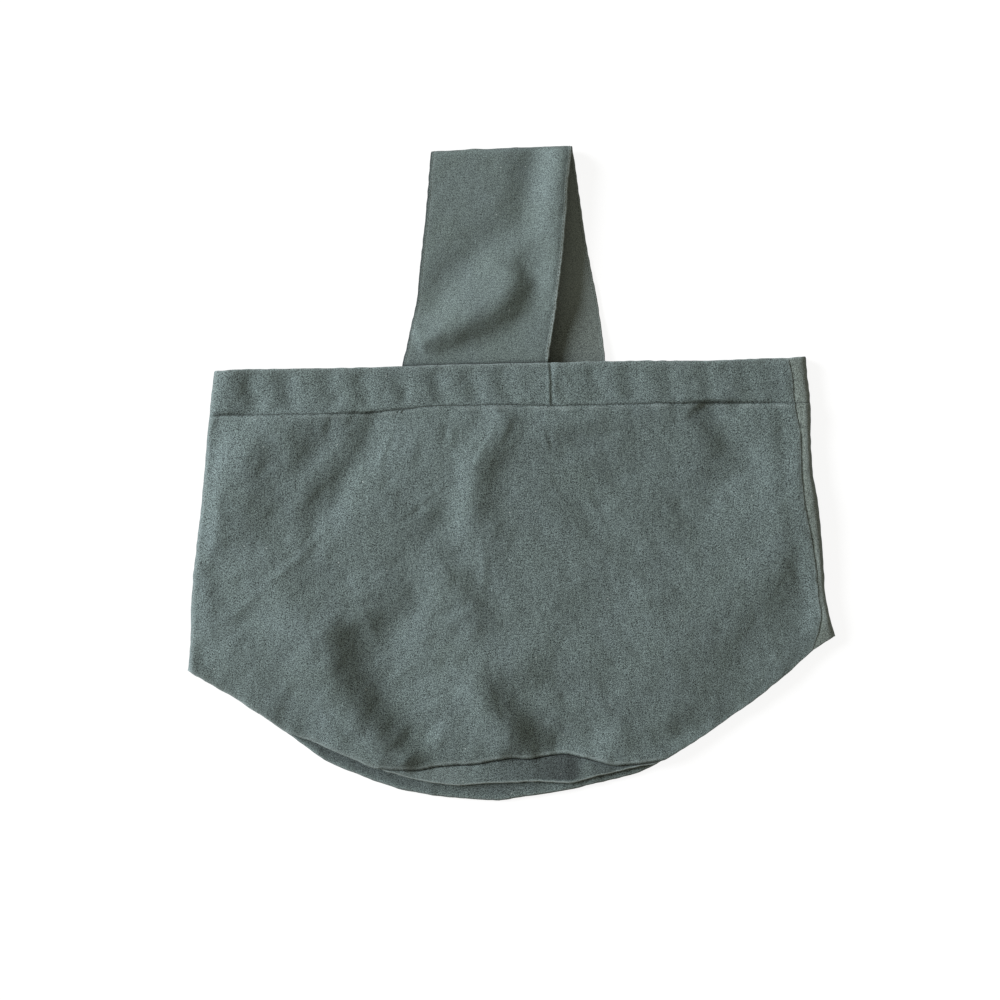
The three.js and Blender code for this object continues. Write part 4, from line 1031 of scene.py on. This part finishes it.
def stitchTree():
    tree = bpy.data.node_groups.new("stitchRun", "GeometryNodeTree")
    tree.is_modifier = True
    tree.interface.new_socket("Lines", in_out="INPUT", socket_type="NodeSocketGeometry")
    ids = {}
    for name in ("Pitch", "Length", "Width", "Height"):
        ids[name] = tree.interface.new_socket(name, in_out="INPUT", socket_type="NodeSocketFloat").identifier
    threadSocket = tree.interface.new_socket("Thread", in_out="INPUT", socket_type="NodeSocketMaterial")
    ids["Thread"] = threadSocket.identifier
    tree.interface.new_socket("Stitches", in_out="OUTPUT", socket_type="NodeSocketGeometry")
    given = tree.nodes.new("NodeGroupInput").outputs
    line = addNode(tree, "GeometryNodeMeshToCurve", Mesh=given["Lines"]).outputs[0]
    evenly = addNode(tree, "GeometryNodeResampleCurve", {"mode": "LENGTH"}, Curve=line,
                     Length=given["Pitch"]).outputs[0]
    ball = addNode(tree, "GeometryNodeMeshUVSphere", Segments=stitches["segments"], Rings=stitches["rings"],
                   Radius=0.5).outputs[0]
    size = addNode(tree, "ShaderNodeCombineXYZ", X=given["Length"], Y=given["Width"],
                   Z=given["Height"]).outputs[0]
    stitch = addNode(tree, "GeometryNodeTransform", Geometry=ball, Scale=size).outputs[0]
    along = addNode(tree, "GeometryNodeInputTangent").outputs[0]
    turned = addNode(tree, "FunctionNodeAlignRotationToVector", {"axis": "X"}, Vector=along).outputs[0]
    placed = addNode(tree, "GeometryNodeInstanceOnPoints", Points=evenly, Instance=stitch,
                     Rotation=turned).outputs[0]
    real = addNode(tree, "GeometryNodeRealizeInstances", Geometry=placed).outputs[0]
    smooth = addNode(tree, "GeometryNodeSetShadeSmooth", Geometry=real).outputs[0]
    done = addNode(tree, "GeometryNodeSetMaterial", Geometry=smooth, Material=given["Thread"]).outputs[0]
    addNode(tree, "NodeGroupOutput", Stitches=done)
    return tree, ids


stitchNodes, stitchSockets = stitchTree()


def stitchPiece(name, lines, thread, size):  # lines are rows of points in mm, already wrinkled
    points, edges = [], []
    for line in lines:
        edges += [(len(points) + i, len(points) + i + 1) for i in range(len(line) - 1)]
        above = np.maximum(np.array(line), [-1000, -1000, size[1] / 2])  # the floor
        points += (above / 1000).tolist()
    mesh = bpy.data.meshes.new(name + "Lines")
    mesh.from_pydata(points, edges, [])
    carrier = bpy.data.objects.new(name + "Lines", mesh)
    bpy.context.scene.collection.objects.link(carrier)
    modifier = carrier.modifiers.new("stitchRun", "NODES")
    modifier.node_group = stitchNodes
    modifier[stitchSockets["Pitch"]] = stitches["pitch"] / 1000
    for side, amount in zip(("Length", "Width", "Height"), size):
        modifier[stitchSockets[side]] = amount / 1000
    modifier[stitchSockets["Thread"]] = thread
    bpy.context.view_layer.update()
    evaluated = carrier.evaluated_get(bpy.context.evaluated_depsgraph_get())
    made = bpy.data.meshes.new_from_object(evaluated)
    bpy.data.objects.remove(carrier)
    bpy.data.meshes.remove(mesh)
    piece = bpy.data.objects.new(name, made)
    made.name = name
    bpy.context.scene.collection.objects.link(piece)
    return piece


def hemLine(first, last, lift, below=0.0):  # along the hem's stitching, from one q to another
    q = np.linspace(first, last, 420)
    top, low, xTop = tubeEnds(q)
    v = (top - stitchAt(xTop) + below) / (top - low)
    point, out, up = tubeFrame(q, v)
    return wrinkle(point + out * lift)


hemV = np.array([(bag["hemDepth"] + 0.5) / (bag["bodyLength"] + bag["hemDepth"])])
hemSeam = float(seamPlace(hemV)[0])
threadLift = cloth["thickness"] / 2 + 0.02
frontLine = hemLine(-1.02, hemSeam - 0.002, threadLift)
backLine = hemLine(hemSeam + 0.003, 1.0, threadLift)
underLine = hemLine(2.0, 3.97, cloth["thickness"] / 2 - 0.1)
tackPlace = np.array([-72.9, 44.9])  # a knot of close stitches where the strap's left edge is caught
tackLines = []
for aside in (-0.9, -0.3, 0.3, 0.9):
    across = tackPlace[0] + stitches["pitch"] * np.array([-0.5, 0.5]) + aside * 0.7
    tall = upperFace(across, tackPlace[1] + aside) + 0.06
    tackLines.append(wrinkle(np.stack([across, 0 * across + tackPlace[1] + aside, tall], -1)))
hemStitches = stitchPiece("hemStitches", [frontLine, backLine, underLine] + tackLines, hemThreadPaintedShade,
                           stitches["hemSize"])

edgeColumn = int(np.argmin(np.abs(edgeDistance[0] - strap["edgeStitchInset"])))
strapLines = []
for column in (edgeColumn, len(strapAcross) - 1 - edgeColumn):
    strapLines.append(wrinkle(strapMiddle[:, column] + strapOut[:, column] * threadLift))
    strapLines.append(wrinkle(liningMiddle[:, column] - strapOut[:, column] * threadLift))
strapStitches = stitchPiece("strapStitches", strapLines, strapThread, stitches["strapSize"])
print("scene: stitches are made")

# What each piece stands for and how it moves
for piece, nodes, slot in ((frontPanel, ["front_panel"], "canvas"), (backPanel, ["back_panel"], "canvas"),
                           (basePanel, ["base_panel"], "canvas"),
                           (leftSeam, ["left_side_seam"], "canvas_inside"),
                           (rightSeam, ["right_side_seam"], "canvas_inside"),
                           (frontBaseSeam, ["front_base_seam"], "canvas_inside"),
                           (backBaseSeam, ["back_base_seam"], "canvas_inside")):
    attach(piece, "bag")
    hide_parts(*nodes)
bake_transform(strapOuter)
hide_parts("strap_outer", "front_strap_end_outer", "back_strap_end_outer")
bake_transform(strapLining)
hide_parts("strap_lining", "front_strap_end_lining", "back_strap_end_lining")
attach(hemStitches, "bag")
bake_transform(strapStitches)

# Floor, light and camera
studio = {
    "floorColour": "#787878",
    "floorGlow": 0.89,  # lifts the floor to white for the camera alone
    "fill": 0.26,  # strength of the light from all round
    "fillColour": (1.06, 0.98, 0.8),  # warm, so that the hollows of folds look warm
    "sunColour": (0.965, 0.995, 1.05),
    "sunStrength": 4.5,
    "sunSpread": 31,  # degrees
    "sunFrom": 160,  # degrees round from +x
    "sunHeight": 27,
    "cameraHeight": 1.8,
    "viewWidth": 0.68,
    "viewCentre": (-0.0064, -0.0173),
    "roll": -1.35,
}

floorMesh = bpy.data.meshes.new("floor")
floorCorners = [(-4, -4, -0.0003), (4, -4, -0.0003), (4, 4, -0.0003), (-4, 4, -0.0003)]
floorMesh.from_pydata(floorCorners, [], [(0, 1, 2, 3)])
floor = bpy.data.objects.new("floor", floorMesh)
bpy.context.scene.collection.objects.link(floor)
floorMaterial, floorTree = newMaterial("paleFloor")
seen = addNode(floorTree, "ShaderNodeLightPath")
shown = addNode(floorTree, "ShaderNodeMath", {"operation": "MAXIMUM"}, in0=seen.outputs["Is Camera Ray"],
                in1=seen.outputs["Is Glossy Ray"]).outputs[0]
shown = addNode(floorTree, "ShaderNodeMath", {"operation": "MAXIMUM"}, in0=shown,
                in1=seen.outputs["Is Transmission Ray"]).outputs[0]
glow = addNode(floorTree, "ShaderNodeMath", {"operation": "MULTIPLY"}, in0=shown,
               in1=studio["floorGlow"]).outputs[0]
matt = addNode(floorTree, "ShaderNodeBsdfDiffuse", Color=linear(studio["floorColour"])).outputs[0]
shine = addNode(floorTree, "ShaderNodeEmission", Color=(1, 1, 1, 1), Strength=glow).outputs[0]
both = addNode(floorTree, "ShaderNodeAddShader", in0=matt, in1=shine).outputs[0]
addNode(floorTree, "ShaderNodeOutputMaterial", Surface=both)
floorMesh.materials.append(floorMaterial)

world = bpy.data.worlds.new("studio")
bpy.context.scene.world = world
world.use_nodes = True
world.node_tree.nodes.clear()
skyRays = addNode(world.node_tree, "ShaderNodeLightPath")
skySeen = addNode(world.node_tree, "ShaderNodeMath", {"operation": "MAXIMUM"},
                  in0=skyRays.outputs["Is Camera Ray"], in1=skyRays.outputs["Is Transmission Ray"]).outputs[0]
skyStrength = addNode(world.node_tree, "ShaderNodeMath", {"operation": "MULTIPLY_ADD"}, in0=skySeen,
                      in1=1 - studio["fill"], in2=studio["fill"]).outputs[0]
skyColour = addNode(world.node_tree, "ShaderNodeMix", {"data_type": "RGBA"}, Factor=skySeen,
                    in6=(*studio["fillColour"], 1), in7=(1, 1, 1, 1)).outputs[2]
sky = addNode(world.node_tree, "ShaderNodeBackground", Color=skyColour, Strength=skyStrength).outputs[0]
addNode(world.node_tree, "ShaderNodeOutputWorld", Surface=sky)

sun = bpy.data.objects.new("window", bpy.data.lights.new("window", "SUN"))
sun.data.energy = studio["sunStrength"]
sun.data.color = studio["sunColour"]
sun.data.angle = math.radians(studio["sunSpread"])
sun.rotation_euler = (0, math.radians(90 - studio["sunHeight"]), math.radians(studio["sunFrom"]))
bpy.context.scene.collection.objects.link(sun)

camera = bpy.data.objects.new("camera", bpy.data.cameras.new("camera"))
camera.location = (*studio["viewCentre"], studio["cameraHeight"])
camera.rotation_euler = (0, 0, math.radians(studio["roll"]))
camera.data.sensor_width = 36
camera.data.lens = 18 * (studio["cameraHeight"] - 0.012) / (studio["viewWidth"] / 2)
bpy.context.scene.collection.objects.link(camera)
bpy.context.scene.camera = camera
bpy.context.scene.view_settings.view_transform = "Standard"
